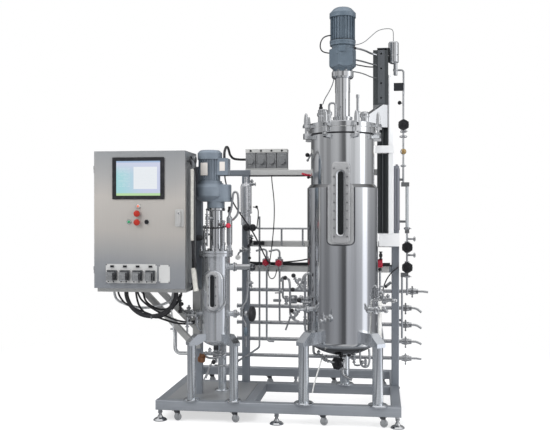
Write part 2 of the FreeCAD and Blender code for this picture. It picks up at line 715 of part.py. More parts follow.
def seed_legs():
    """Three legs of the seed vessel."""
    solids = []
    for leg_x, leg_y in leg_places(SEED_X, SEED_LEG_SPREAD, SEED_RAIL_Y):
        solids += vessel_leg(SEED_X, SEED_Y, leg_x, leg_y, SEED_LEG_RADIUS, SEED_LEG_TOP,
                             SEED_RADIUS, SEED_BOTTOM, SEED_FOOT_RADIUS, 66)
    return solids


# ---- Lids and closures ----------------------------------------------------
MAIN_HEAD_RADIUS = 180.0
MAIN_NOZZLE_RADIUS = 58.0
MAIN_LID_TOP = MAIN_LID_Z + MAIN_LID_PLATE
MAIN_EAR_TOP = MAIN_LID_TOP - 12.0
MAIN_PEDESTAL_Z = MAIN_LID_TOP + MAIN_LID_DOME + 10.0
MAIN_PEDESTAL_TOP = MAIN_PEDESTAL_Z + MAIN_PEDESTAL_HEIGHT
MAIN_GEARBOX_TOP = MAIN_PEDESTAL_TOP + MAIN_GEARBOX_HEIGHT
MAIN_MOTOR_TOP = MAIN_GEARBOX_TOP + MAIN_MOTOR_HEIGHT
SEED_PEDESTAL_Z = SEED_LID_Z + SEED_LID_PLATE
SEED_PEDESTAL_TOP = SEED_PEDESTAL_Z + SEED_PEDESTAL_HEIGHT
SEED_GEARBOX_TOP = SEED_PEDESTAL_TOP + SEED_GEARBOX_HEIGHT
SEED_MOTOR_TOP = SEED_GEARBOX_TOP + SEED_MOTOR_HEIGHT
LID_PORT_HEIGHT = 55.0
SEED_LID_PORT_HEIGHT = 34.0
LID_PORTS = [(206.0, 135.0, 30.0), (312.0, 146.0, 14.0), (150.0, 140.0, 20.0),
             (95.0, 135.0, 20.0), (8.0, 140.0, 25.0), (236.0, 140.0, 14.0)]
SEED_LID_PORTS = [(180.0, 74.0, 9.0), (0.0, 86.0, 12.0), (120.0, 74.0, 9.0), (60.0, 74.0, 9.0),
                  (315.0, 76.0, 9.0)]


def main_lid():
    """The dished lid: slotted clamp ears, drive nozzle and ferruled ports."""
    x, y = MAIN_X, MAIN_Y
    top = MAIN_LID_TOP
    plate = rod(MAIN_FLANGE_RADIUS, (x, y, MAIN_LID_Z), (x, y, top))
    head = dished(MAIN_HEAD_RADIUS, MAIN_LID_DOME, x, y, top)
    nozzle = rod(MAIN_NOZZLE_RADIUS, (x, y, top), (x, y, MAIN_PEDESTAL_Z))
    parts = [plate, head, nozzle]
    for index in range(MAIN_CLAMPS):
        ear = box(MAIN_FLANGE_RADIUS - 8, MAIN_CLAMP_CIRCLE + 16, -20, 20, MAIN_LID_Z, MAIN_EAR_TOP)
        slot = box(MAIN_CLAMP_CIRCLE - 9, MAIN_CLAMP_CIRCLE + 30, -9, 9, MAIN_LID_Z - 1, top + 1)
        ear = ear.cut(slot)
        ear.translate(Vector(x, y, 0))
        ear.rotate(Vector(x, y, 0), Vector(0, 0, 1), MAIN_CLAMP_FIRST + 360.0 * index / MAIN_CLAMPS)
        parts.append(ear)
    bores = [rod(MAIN_SHAFT_RADIUS + 12, (x, y, MAIN_LID_Z), (x, y, MAIN_PEDESTAL_Z + 1))]
    for angle, circle, radius in LID_PORTS:
        px = x + circle * math.cos(math.radians(angle))
        py = y + circle * math.sin(math.radians(angle))
        tall = LID_PORT_HEIGHT
        port = turned([(0, 0), (radius, 0), (radius, tall - 11), (radius + 6, tall - 5),
                       (radius + 6, tall), (0, tall)], px, py, top)
        parts.append(port)
        bores.append(rod(radius - 4, (px, py, top - 1), (px, py, top + tall + 5)))
    for index in range(MAIN_CLAMPS):
        angle = MAIN_CLAMP_FIRST + 360.0 * index / MAIN_CLAMPS
        slot = box(MAIN_CLAMP_CIRCLE - 9, MAIN_CLAMP_CIRCLE + 30, -9, 9, MAIN_LID_Z - 1, top + 1)
        slot.translate(Vector(x, y, 0))
        slot.rotate(Vector(x, y, 0), Vector(0, 0, 1), angle)
        bores.append(slot)
    hollow = fused(rod(MAIN_HEAD_RADIUS - 6, (x, y, MAIN_LID_Z - 1), (x, y, top)),
                   dished(MAIN_HEAD_RADIUS - 6, MAIN_LID_DOME - 6, x, y, top))
    return [fused(*parts).cut(hollow).cut(bores)]


def gaskets():
    """Flat seals between the vessel rims and their lids."""
    main = ring(MAIN_FLANGE_RADIUS - 4, MAIN_RADIUS - MAIN_WALL, (MAIN_X, MAIN_Y, MAIN_RIM),
                (MAIN_X, MAIN_Y, MAIN_LID_Z))
    seed = ring(SEED_RADIUS + 2, SEED_RADIUS - SEED_WALL, (SEED_X, SEED_Y, SEED_RIM),
                (SEED_X, SEED_Y, SEED_LID_Z))
    return [main, seed]


def main_clamps():
    """Swing bolts pinned in their forks, each with a tall tapered cap nut."""
    solids = []
    x, y = MAIN_X, MAIN_Y
    seat = MAIN_EAR_TOP
    for px, py, angle in around(x, y, MAIN_CLAMP_CIRCLE, MAIN_CLAMPS, MAIN_CLAMP_FIRST):
        across = (-math.sin(angle), math.cos(angle))
        eye_z = (MAIN_EYE_Z - 14 + MAIN_RIM - MAIN_FLANGE_THICKNESS) / 2

        def pin(radius, reach):
            """A crosswise pin through the bolt's eye."""
            return rod(radius, (px - across[0] * reach, py - across[1] * reach, eye_z),
                       (px + across[0] * reach, py + across[1] * reach, eye_z))

        shank = rod(MAIN_BOLT_RADIUS, (px, py, eye_z), (px, py, seat + 44))
        solids.append(fused(shank, pin(12.0, 8.5), pin(MAIN_BOLT_RADIUS * 0.75 - RUNNING_FIT, 18)))
        bore = MAIN_BOLT_RADIUS + RUNNING_FIT
        outline = [(bore, 0), (17, 0), (17, 6), (13, 9), (13, 34), (9, 66), (5, 74), (0, 76),
                   (0, 46), (bore, 46)]
        solids.append(turned(outline, px, py, seat))
    return solids


def seed_lid():
    """The flat lid of the seed vessel with its ports."""
    x, y = SEED_X, SEED_Y
    top = SEED_LID_Z + SEED_LID_PLATE
    parts = [rod(SEED_FLANGE_RADIUS, (x, y, SEED_LID_Z), (x, y, top))]
    cuts = [rod(SEED_SHAFT_RADIUS + 4, (x, y, SEED_LID_Z - 1), (x, y, top + 1))]
    for angle, circle, radius in SEED_LID_PORTS:
        px = x + circle * math.cos(math.radians(angle))
        py = y + circle * math.sin(math.radians(angle))
        high = top + SEED_LID_PORT_HEIGHT
        parts.append(rod(radius, (px, py, top - 1), (px, py, high)))
        cuts.append(rod(radius - 3, (px, py, SEED_LID_Z - 1), (px, py, high + 1)))
    for px, py, angle in around(x, y, SEED_CLAMP_CIRCLE, SEED_CLAMPS, SEED_CLAMP_FIRST):
        cuts.append(rod(5.5, (px, py, SEED_LID_Z - 1), (px, py, top + 1)))
    return [fused(*parts).cut(cuts)]


def seed_clamps():
    """Studs through the seed vessel's flanges, with heads below and cap nuts above."""
    solids = []
    top = SEED_LID_Z + SEED_LID_PLATE
    low = SEED_RIM - SEED_FLANGE_THICKNESS
    for px, py, _ in around(SEED_X, SEED_Y, SEED_CLAMP_CIRCLE, SEED_CLAMPS, SEED_CLAMP_FIRST):
        head = hexagon(15, (px, py, low - 9), (px, py, low))
        shank = rod(5, (px, py, low), (px, py, top + 8))
        solids.append(fused(head, shank))
        bore = 5 + RUNNING_FIT
        solids.append(turned([(bore, 0), (9, 0), (9, 12), (6.5, 16), (6.5, 30), (3, 34), (0, 34),
                              (0, 9), (bore, 9)], px, py, top))
    return solids


# ---- Agitators ------------------------------------------------------------
def turbine(x, y, z, radius, hub, blades):
    """A disc turbine: hub, disc and flat blades astride the disc's edge."""
    disc = rod(radius * 0.72, (x, y, z - 1.5), (x, y, z + 1.5))
    boss = rod(hub, (x, y, z - radius * 0.2), (x, y, z + radius * 0.2))
    parts = [disc, boss]
    height = radius * 0.4
    for index in range(blades):
        blade = box(radius * 0.5, radius, -1.5, 1.5, z - height / 2, z + height / 2)
        blade.translate(Vector(x, y, 0))
        blade.rotate(Vector(x, y, 0), Vector(0, 0, 1), 360.0 * index / blades)
        parts.append(blade)
    return fused(*parts)


def agitator(x, y, shaft, low, top, impeller, levels, coupling_z, coupling_radius):
    """A shaft with its turbines and the coupling hub inside the drive pedestal."""
    parts = [rod(shaft, (x, y, low), (x, y, top))]
    for z in levels:
        parts.append(turbine(x, y, z, impeller, shaft * 1.8, 6))
    parts.append(rod(coupling_radius, (x, y, coupling_z), (x, y, coupling_z + 2.2 * coupling_radius)))
    return fused(*parts)


def main_agitator():
    """The main shaft with three turbines."""
    low = MAIN_BOTTOM - MAIN_DISH + 40
    levels = [MAIN_BOTTOM + share * (MAIN_RIM - MAIN_BOTTOM) for share in (0.03, 0.32, 0.61)]
    return [agitator(MAIN_X, MAIN_Y, MAIN_SHAFT_RADIUS, low, MAIN_PEDESTAL_TOP - CLEARANCE,
                     MAIN_IMPELLER_RADIUS, levels, MAIN_PEDESTAL_TOP - 130, 27)]


def seed_agitator():
    """The seed vessel's shaft with two turbines."""
    low = SEED_BOTTOM - SEED_DISH + 25
    levels = [SEED_BOTTOM + share * (SEED_RIM - SEED_BOTTOM) for share in (0.06, 0.4)]
    return [agitator(SEED_X, SEED_Y, SEED_SHAFT_RADIUS, low, SEED_PEDESTAL_TOP - CLEARANCE,
                     SEED_IMPELLER_RADIUS, levels, SEED_PEDESTAL_TOP - 80, 18)]


# ---- Drives ---------------------------------------------------------------
def pedestal(x, y, z0, z1, radius, shaft, foot_radius, head_radius, head_height, wall=5.0):
    """A drive lantern: bored seal plate, windowed stepped tube and rounded head flange."""
    seal = shaft + RUNNING_FIT
    tall = z1 - z0
    neck = tall - head_height
    step = PEDESTAL_STEP * tall
    outline = [(seal, 0), (foot_radius, 0), (foot_radius, 12), (radius, 12), (radius, step),
               (radius + 2, step), (radius + 2, neck), (head_radius - 7, neck),
               (head_radius, neck + 0.25 * head_height), (head_radius, tall - 3),
               (head_radius - 3, tall), (radius - wall, tall), (radius - wall, 26), (seal, 26)]
    body = turned(outline, x, y, z0)
    low = z0 + neck - 0.36 * tall
    high = z0 + neck - 14
    window = box(x - radius * 0.55, x + radius * 0.55, y, y + 2 * radius, low, high)
    return [body.cut(window)]


def main_pedestal():
    """The production vessel's drive lantern."""
    return pedestal(MAIN_X, MAIN_Y, MAIN_PEDESTAL_Z, MAIN_PEDESTAL_TOP, 46, MAIN_SHAFT_RADIUS,
                    MAIN_NOZZLE_RADIUS + 4, 69, 42)


def seed_pedestal():
    """The seed vessel's drive lantern."""
    return pedestal(SEED_X, SEED_Y, SEED_PEDESTAL_Z, SEED_PEDESTAL_TOP, 39, SEED_SHAFT_RADIUS,
                    54, 58, 20)


def main_gearbox():
    """A coaxial helical gearbox: bevelled six-sided case, motor flange and an oil plug."""
    x, y, z = MAIN_X, MAIN_Y, MAIN_PEDESTAL_TOP
    tall = MAIN_GEARBOX_HEIGHT
    shoulder = 0.78 * tall
    case = hexagon(152, (x, y, z + 4), (x, y, z + shoulder))
    case = case.makeFillet(8, [e for e in case.Edges if e.BoundBox.ZLength > shoulder - 10])
    case.rotate(Vector(x, y, 0), Vector(0, 0, 1), 17)
    bevel = turned([(0, 4), (54, 4), (62, 16), (92, 42), (92, shoulder - 8), (80, shoulder), (0, shoulder)],
                   x, y, z)
    foot = rod(56, (x, y, z), (x, y, z + 20))
    flange = turned([(0, shoulder), (68, shoulder), (68, tall - 22), (80, tall - 16), (80, tall),
                     (0, tall)], x, y, z)
    plug = rod(9, (x - 30, y - 82, z + 0.62 * tall), (x - 26, y - 60, z + 0.62 * tall))
    return [fused(foot, case.common(bevel), flange, plug)]


def seed_gearbox():
    """An offset helical gearbox: a round input case over a long output case."""
    x, y, z = SEED_X, SEED_Y, SEED_PEDESTAL_TOP
    motor_x = x - SEED_MOTOR_OFFSET
    tall = SEED_GEARBOX_HEIGHT
    neck = rod(55, (x, y, z), (x, y, z + 42))
    case = [rod(58, (motor_x + 14, y, z + 38), (motor_x + 14, y, z + 112)),
            rod(55, (x + 43, y, z + 38), (x + 43, y, tall + z - 8)),
            box(motor_x + 14, x + 43, y - 55, y + 55, z + 38, z + 112)]
    case[1] = case[1].makeChamfer(5, [case[1].Edges[0]])
    bell = turned([(0, 40), (58, 40), (84, 62), (94, 74), (94, tall - 26), (84, tall - 8), (84, tall),
                   (0, tall)], motor_x, y, z)
    return [fused(neck, *case, bell)]


def motor(x, y, z0, tall, radius, fins, crown, box_angle, box_height):
    """A finned motor: barrel, end shield, fan cowl with a bevelled crown and terminal box."""
    cowl_low = tall * 0.74
    barrel = turned([(0, 0), (radius + 4, 0), (radius + 4, 12), (radius - 8, 16),
                     (radius - 8, cowl_low), (0, cowl_low)], x, y, z0)
    parts = [barrel]
    step = 360.0 / fins
    for index in range(fins):
        angle = step * index
        if abs((angle - box_angle + 180) % 360 - 180) < 34:
            continue
        fin = box(radius - 10, radius, -1.6, 1.6, z0 + 20, z0 + cowl_low)
        fin.translate(Vector(x, y, 0))
        fin.rotate(Vector(x, y, 0), Vector(0, 0, 1), angle)
        parts.append(fin)
    rim = radius + 5
    cowl = turned([(0, cowl_low - 4), (rim, cowl_low - 4), (rim, tall - crown),
                   (rim - 0.75 * crown, tall - 0.2 * crown), (rim - 1.1 * crown, tall), (0, tall)],
                  x, y, z0)
    parts.append(cowl)
    case_z = z0 + BOX_RISE * tall
    case = box(radius * 0.6, radius + 44, -45, 45, case_z, case_z + box_height)
    case = case.makeFillet(6, [e for e in case.Edges if e.BoundBox.ZLength > box_height - 1])
    lid = box(radius + 44, radius + 50, -42, 42, case_z + 3, case_z + box_height - 3)
    case = fused(case, lid)
    case.translate(Vector(x, y, 0))
    case.rotate(Vector(x, y, 0), Vector(0, 0, 1), box_angle)
    parts.append(case)
    return [fused(*parts)]


def main_motor():
    """The production vessel's motor, with its terminal box at the back."""
    return motor(MAIN_X, MAIN_Y, MAIN_GEARBOX_TOP, MAIN_MOTOR_HEIGHT, 78, 24, 34, MAIN_BOX_ANGLE,
                 MAIN_BOX_HEIGHT)


def seed_motor():
    """The seed vessel's motor, with its terminal box on the right."""
    return motor(SEED_X - SEED_MOTOR_OFFSET, SEED_Y, SEED_GEARBOX_TOP, SEED_MOTOR_HEIGHT, 72, 28, 18,
                 0, SEED_BOX_HEIGHT)


# ---- Support frame and lid lift -------------------------------------------
POST_FRONT = POST_Y - POST / 2
POST_BACK = POST_Y + POST / 2
HEADER_Y = POST_BACK + HEADER_RADIUS
LIFT_BACK = POST_FRONT
LIFT_FRONT = LIFT_BACK - LIFT_DEPTH
LIFT_LEFT = LIFT_X - LIFT_WIDTH / 2
LIFT_RIGHT = LIFT_X + LIFT_WIDTH / 2
LIFT_TOP = MAIN_RIM + LIFT_ABOVE_RIM
MAST_TOP = LIFT_TOP - MAST_DROP
CABINET_LEFT = CABINET_RIGHT - CABINET_WIDTH
CABINET_TOP = CABINET_BOTTOM + CABINET_HEIGHT
CABINET_BACK = CABINET_FRONT + CABINET_DEPTH
CABINET_POST_X = CABINET_RIGHT + 9.0
ARM = 36.0


def support_frame():
    """Posts and rails that carry the pipework, the pump rack and the cabinet."""
    half = POST / 2
    right_face = RIGHT_POST_X - half
    mid_left, mid_right = MID_POST_X - half, MID_POST_X + half
    cabinet_left, cabinet_right = CABINET_POST_X - half, CABINET_POST_X + half
    top = TOP_RAIL_Z + TOP_RAIL_HEIGHT
    solids = [
        square_bar(POST, right_face, RIGHT_POST_X + half, POST_FRONT, POST_BACK, RAIL_TOP,
                   RIGHT_POST_TOP),
        square_bar(POST, mid_left, mid_right, POST_FRONT, POST_BACK, RAIL_TOP, TOP_RAIL_Z),
        square_bar(POST, cabinet_left, cabinet_right, CABINET_BACK, CABINET_BACK + POST,
                   RAIL_TOP, top),
        square_bar(POST, cabinet_left, cabinet_right, CABINET_BACK + POST, POST_BACK,
                   TOP_RAIL_Z, top),
        square_bar(POST, cabinet_right, right_face, POST_FRONT, POST_BACK, TOP_RAIL_Z, top)]
    for z in (UPPER_RAIL_Z, LOWER_RAIL_Z):
        solids.append(square_bar(POST, mid_right, right_face, POST_FRONT, POST_BACK, z, z + 40))
    return solids


def cabinet_arms():
    """Two diagonal tubes that run from the cabinet post up to the cabinet's sill."""
    post_left = CABINET_POST_X - POST / 2
    top = CABINET_BOTTOM - SILL_HEIGHT
    arms = []
    for foot_z, reach in ((RAIL_TOP + 296.0, 314.0), (RAIL_TOP + 423.0, 202.0)):
        points = [Vector(post_left, CABINET_BACK - ARM, foot_z),
                  Vector(post_left, CABINET_BACK - ARM, foot_z + 52),
                  Vector(post_left - reach, CABINET_BACK - ARM, top),
                  Vector(post_left - reach - 48, CABINET_BACK - ARM, top)]
        face = Part.Face(Part.makePolygon(points + points[:1]))
        arms.append(face.extrude(Vector(0, ARM, 0)))
    shoe = box(post_left, post_left + POST, CABINET_BACK - ARM, CABINET_BACK,
               RAIL_TOP + 296.0, CABINET_BOTTOM - SILL_HEIGHT)
    return [fused(shoe, *arms)]


def lift_column():
    """The lid lift: an open channel, the bright mast beside it and its foot bracket."""
    channel = box(LIFT_LEFT, LIFT_RIGHT, LIFT_FRONT, LIFT_BACK, LIFT_BOTTOM, LIFT_TOP)
    channel = channel.cut(box(LIFT_LEFT + LIFT_WALL, LIFT_RIGHT - LIFT_WALL, LIFT_FRONT - 1,
                              LIFT_BACK - LIFT_WALL, LIFT_BOTTOM + LIFT_WALL, LIFT_TOP - LIFT_WALL))
    mast = square_bar(LIFT_MAST, LIFT_RIGHT, LIFT_RIGHT + LIFT_MAST, LIFT_FRONT + 8, LIFT_BACK,
                      LIFT_BOTTOM, MAST_TOP)
    bracket = box(LIFT_LEFT + 12, RIGHT_POST_X + POST / 2, LIFT_FRONT + 14, LIFT_BACK,
                  LIFT_BOTTOM - 86, LIFT_BOTTOM)
    screw = rod(10, (LIFT_X, LIFT_BACK - 26, LIFT_BOTTOM + LIFT_WALL),
                (LIFT_X, LIFT_BACK - 26, LIFT_TOP - LIFT_WALL))
    bar = box(LIFT_LEFT - 12, LIFT_RIGHT + LIFT_MAST, LIFT_FRONT - 14, LIFT_FRONT, 1682, 1730)
    return [channel, mast, bracket, screw, bar]


def lift_carriage():
    """The carriage plate on the channel and the arm that runs down to the lid's edge."""
    front = LIFT_FRONT - LIFT_PLATE
    left, right = LIFT_LEFT - (CARRIAGE_WIDTH - LIFT_WIDTH), LIFT_RIGHT
    low, high = MAIN_LID_TOP + 7, LIFT_TOP - 16
    middle = (left + right) / 2
    plate = fused(box(left, right, front, LIFT_FRONT, low, high),
                  box(middle - 20, middle + 26, front - 5, front, low + 160, high))
    holes = []
    for row in range(4):
        z = low + (high - low) * (0.38 + 0.19 * row)
        holes.append(rod(6, (middle + 3, front - 6, z), (middle + 3, LIFT_FRONT + 1, z)))
    plate = plate.cut(holes)
    angle = math.degrees(math.atan2(front - MAIN_Y, LIFT_X - MAIN_X))
    span = math.hypot(front - MAIN_Y, LIFT_X - MAIN_X) + 60
    foot = MAIN_HEAD_RADIUS + 2
    outline = [(foot, 0), (MAIN_FLANGE_RADIUS - 2, 0), (span, 8), (span, 153), (span - 78, 153),
               (foot, 62)]
    points = [Vector(r, -LIFT_ARM_WIDTH / 2, MAIN_LID_TOP + z) for r, z in outline]
    arm = Part.Face(Part.makePolygon(points + points[:1])).extrude(Vector(0, LIFT_ARM_WIDTH, 0))
    arm.translate(Vector(MAIN_X, MAIN_Y, 0))
    arm.rotate(Vector(MAIN_X, MAIN_Y, 0), Vector(0, 0, 1), angle)
    behind = box(left - span, right + span, front, front + span, MAIN_LID_TOP - 1, LIFT_TOP)
    return [fused(plate, arm.cut(behind))]


# ---- Control cabinet ------------------------------------------------------
DOOR_BACK = CABINET_FRONT + DOOR_DEPTH
HINGE_PIN = 2.5
HINGE_X = CABINET_LEFT - 5.0
HINGE_Y = CABINET_FRONT + DOOR_DEPTH + DOOR_GAP / 2
PANEL_CENTRE_X = CABINET_LEFT + PANEL_INSET
PANEL_CENTRE_Z = CABINET_TOP - PANEL_DROP
PUMP_PANEL = (CABINET_LEFT + 76.0, CABINET_LEFT + 396.0, CABINET_BOTTOM + 32.0,
              CABINET_BOTTOM + 148.0)
HANDLE_X = CABINET_RIGHT - 34.0
HANDLE_Z = PANEL_CENTRE_Z - 240.0
LAMP = (PANEL_CENTRE_X, PANEL_CENTRE_Z - 169.0)
STOPS = ((PANEL_CENTRE_X - 5.0, PANEL_CENTRE_Z - 214.0), (PANEL_CENTRE_X - 5.0, PANEL_CENTRE_Z - 267.0))
START = (PANEL_CENTRE_X - 59.0, PANEL_CENTRE_Z - 264.0)
SELECTOR = (PANEL_CENTRE_X + 52.0, PANEL_CENTRE_Z - 264.0)
BUTTON_BORE = 8.4
BUTTON_STEM = BUTTON_BORE - RUNNING_FIT


def hinge_levels():
    """Heights of the door's two hinges."""
    return (CABINET_BOTTOM + 110, CABINET_TOP - 110)


def hinge_knuckle(z0, z1, y0, y1):
    """A hinge knuckle with a leaf that meets the cabinet's left side."""
    barrel = rod(HINGE_PIN + 2.5, (HINGE_X, HINGE_Y, z0), (HINGE_X, HINGE_Y, z1))
    leaf = box(HINGE_X - 2, CABINET_LEFT, y0, y1, z0, z1)
    return fused(barrel, leaf).cut(rod(HINGE_PIN + RUNNING_FIT, (HINGE_X, HINGE_Y, z0 - 1),
                                       (HINGE_X, HINGE_Y, z1 + 1)))


def cabinet_case():
    """The folded cabinet body, open at the front, on a sill frame."""
    left, right = CABINET_LEFT, CABINET_RIGHT
    front = DOOR_BACK + DOOR_GAP
    case = box(left, right, front, CABINET_BACK, CABINET_BOTTOM, CABINET_TOP)
    hollow = box(left + SHEET, right - SHEET, front - 1, CABINET_BACK - SHEET,
                 CABINET_BOTTOM + SHEET, CABINET_TOP - SHEET)
    gland = rod(18, (right - 5, CABINET_BACK - 62, CABINET_TOP - 40),
                (right + 5, CABINET_BACK - 62, CABINET_TOP - 40))
    case = case.cut([hollow, gland])
    frame = box(left + 6, right - 6, front + 20, CABINET_BACK, CABINET_BOTTOM - SILL_HEIGHT,
                CABINET_BOTTOM)
    frame = frame.cut(box(left + 46, right - 46, front + 60, CABINET_BACK - 40,
                          CABINET_BOTTOM - SILL_HEIGHT - 1, CABINET_BOTTOM + 1))
    outlet = ring(24, 17, (right, CABINET_BACK - 62, CABINET_TOP - 40),
                  (right + 12, CABINET_BACK - 62, CABINET_TOP - 40))
    trunking = box(right, right + 22, CABINET_FRONT + 90, CABINET_FRONT + 150,
                   CABINET_BOTTOM + 30, CABINET_TOP - 100)
    plate = box(left + 60, right - 60, CABINET_BACK - SHEET - 3, CABINET_BACK - SHEET,
                CABINET_BOTTOM + 60, CABINET_TOP - 60)
    knuckles = []
    for z in hinge_levels():
        knuckles.append(hinge_knuckle(z - 22, z, HINGE_Y, HINGE_Y + 16))
        knuckles.append(rod(HINGE_PIN, (HINGE_X, HINGE_Y, z - 22), (HINGE_X, HINGE_Y, z + 22)))
    return [fused(case, frame, *knuckles), outlet, trunking, plate]


def door_cutouts():
    """Openings of the door for the touch panel, buttons, lamp and handle."""
    y0, y1 = CABINET_FRONT - 1, DOOR_BACK + 1
    half_w, half_h = PANEL_WIDTH / 2 - 12, PANEL_HEIGHT / 2 - 12
    cuts = [box(PANEL_CENTRE_X - half_w, PANEL_CENTRE_X + half_w, y0, y1,
                PANEL_CENTRE_Z - half_h, PANEL_CENTRE_Z + half_h)]
    for x, z in (LAMP, START, SELECTOR) + STOPS:
        cuts.append(rod(11, (x, y0, z), (x, y1, z)))
    cuts.append(rod(9, (HANDLE_X, y0, HANDLE_Z + 30), (HANDLE_X, y1, HANDLE_Z + 30)))
    return cuts


def cabinet_door():
    """The folded door, a shallow pan with returned edges."""
    pan = box(CABINET_LEFT, CABINET_RIGHT, CABINET_FRONT, DOOR_BACK, CABINET_BOTTOM, CABINET_TOP)
    upright = [e for e in pan.Edges if e.BoundBox.ZLength > 100 and e.BoundBox.YMax < CABINET_FRONT + 1]
    pan = pan.makeFillet(3.0, upright)
    pan = pan.cut(box(CABINET_LEFT + SHEET, CABINET_RIGHT - SHEET, CABINET_FRONT + SHEET,
                      DOOR_BACK + 1, CABINET_BOTTOM + SHEET, CABINET_TOP - SHEET))
    knuckles = [hinge_knuckle(z + CLEARANCE, z + 22, HINGE_Y - 14, HINGE_Y - DOOR_GAP / 2)
                for z in hinge_levels()]
    return [fused(pan.cut(door_cutouts()), *knuckles)]


def hmi_bezel():
    """The black panel frame around the touch screen."""
    x, z = PANEL_CENTRE_X, PANEL_CENTRE_Z
    bezel = box(x - PANEL_WIDTH / 2, x + PANEL_WIDTH / 2, CABINET_FRONT - 7, CABINET_FRONT,
                z - PANEL_HEIGHT / 2, z + PANEL_HEIGHT / 2)
    bezel = bezel.makeFillet(4, [e for e in bezel.Edges if e.BoundBox.YLength > 6])
    back = box(x - PANEL_WIDTH / 2 + 14, x + PANEL_WIDTH / 2 - 14, CABINET_FRONT,
               CABINET_FRONT + 48, z - PANEL_HEIGHT / 2 + 14, z + PANEL_HEIGHT / 2 - 14)
    recess = box(x - PANEL_WIDTH / 2 + 25, x + PANEL_WIDTH / 2 - 25, CABINET_FRONT - 8,
                 CABINET_FRONT - 3, z - PANEL_HEIGHT / 2 + 22, z + PANEL_HEIGHT / 2 - 22)
    return [fused(bezel, back).cut(recess)]


def hmi_screen():
    """The glass of the touch screen, lying in the bezel's recess."""
    x, z = PANEL_CENTRE_X, PANEL_CENTRE_Z
    return [box(x - PANEL_WIDTH / 2 + 25, x + PANEL_WIDTH / 2 - 25, CABINET_FRONT - 6,
                CABINET_FRONT - 3, z - PANEL_HEIGHT / 2 + 22, z + PANEL_HEIGHT / 2 - 22)]


def pump_block(x, y, z, wide, tall, deep):
    """A peristaltic pump: housing, round head with a hinged cover, and two hose stubs."""
    case = box(x - wide / 2, x + wide / 2, y, y + deep * 0.5, z - tall / 2, z + tall / 2)
    head = rod(wide * 0.42, (x, y - deep * 0.5, z + 4), (x, y, z + 4))
    cover = box(x - wide * 0.36, x + wide * 0.36, y - deep * 0.5 - 4, y - deep * 0.5,
                z - tall * 0.34, z + tall * 0.42)
    stubs = [rod(4, (x + side * wide * 0.28, y - deep * 0.25, z - tall / 2 - 10),
                 (x + side * wide * 0.28, y - deep * 0.25, z)) for side in (-1, 1)]
    return fused(case, head, cover, *stubs)


def door_pumps():
    """The pump panel on the door: four pumps, four small switches and a blank plate."""
    x0, x1, z0, z1 = PUMP_PANEL
    plate = box(x0, x1, CABINET_FRONT - 3, CABINET_FRONT, z0, z1)
    blank = box(x1 + 12, x1 + 80, CABINET_FRONT - 3, CABINET_FRONT, z0 + 4, z1 - 4)
    solids = [plate, blank]
    pitch = (x1 - x0) / 4
    for index in range(4):
        x = x0 + pitch * (index + 0.5)
        solids.append(pump_block(x, CABINET_FRONT - 21, z0 + 48, 58, 62, 36))
        solids.append(box(x - 11, x + 11, CABINET_FRONT - 9, CABINET_FRONT - 3, z1 - 20, z1 - 8))
    return solids


def button_body(place, y0, outline):
    """A turned push button whose axis leaves the door towards the front."""
    x, z = place
    return [turned_along(outline, (x, y0, z), (0, -1, 0))]


def mushroom(place):
    """A mushroom-head stop button with its stem."""
    return button_body(place, CABINET_FRONT + 6, [(0, 0), (BUTTON_STEM, 0), (BUTTON_STEM, 16), (17, 20),
                                                  (20, 26), (18, 32), (10, 35), (0, 36)])


def start_button():
    """The start button: a plain stem with a rounded cap."""
    return button_body(START, CABINET_FRONT + 6, [(0, 0), (BUTTON_STEM, 0), (BUTTON_STEM, 14),
                                                  (7, 15), (0, 15)])


def selector_switch():
    """A turn knob with a grip across its face."""
    x, z = SELECTOR
    knob = button_body(SELECTOR, CABINET_FRONT + 6, [(0, 0), (BUTTON_STEM, 0), (BUTTON_STEM, 10),
                                                       (12, 11), (12, 15), (0, 15)])
    grip = box(x - 3.5, x + 3.5, CABINET_FRONT - 20, CABINET_FRONT - 8, z - 12, z + 12)
    return [fused(knob[0], grip)]


def panel_rings():
    """Fixed collars of the buttons and the pilot lamp's lens."""
    solids = []
    for x, z in (START, SELECTOR) + STOPS:
        solids.append(ring(15, BUTTON_BORE, (x, CABINET_FRONT - 4, z), (x, CABINET_FRONT, z)))
        solids.append(ring(10.9, BUTTON_BORE, (x, CABINET_FRONT, z), (x, CABINET_FRONT + 12, z)))
    x, z = LAMP
    solids.append(turned_along([(0, 0), (14, 0), (14, 4), (12, 10), (7, 13), (0, 14)],
                               (x, CABINET_FRONT, z), (0, -1, 0)))
    return solids


def handle_escutcheon():
    """The handle's fixed backplate on the door."""
    plate = box(HANDLE_X - 26, HANDLE_X + 26, CABINET_FRONT - 4, CABINET_FRONT, HANDLE_Z - 52,
                HANDLE_Z + 52)
    plate = plate.makeFillet(8, [e for e in plate.Edges if e.BoundBox.YLength > 3])
    return [plate.cut(rod(BUTTON_BORE, (HANDLE_X, CABINET_FRONT - 5, HANDLE_Z + 30),
                          (HANDLE_X, CABINET_FRONT + 1, HANDLE_Z + 30)))]


def door_handle():
    """The turning handle with its spindle and the cam inside the door."""
    spindle = rod(BUTTON_STEM, (HANDLE_X, CABINET_FRONT - 10, HANDLE_Z + 30),
                  (HANDLE_X, CABINET_FRONT + 14, HANDLE_Z + 30))
    grip = box(HANDLE_X - 10, HANDLE_X + 10, CABINET_FRONT - 20, CABINET_FRONT - 4.5,
               HANDLE_Z - 46, HANDLE_Z + 44)
    grip = grip.makeFillet(5, [e for e in grip.Edges if e.BoundBox.YLength > 10])
    cam = box(HANDLE_X - 9, HANDLE_X + 9, CABINET_FRONT + 10, CABINET_FRONT + 14, HANDLE_Z + 2,
              HANDLE_Z + 42)
    return [fused(spindle, grip, cam)]


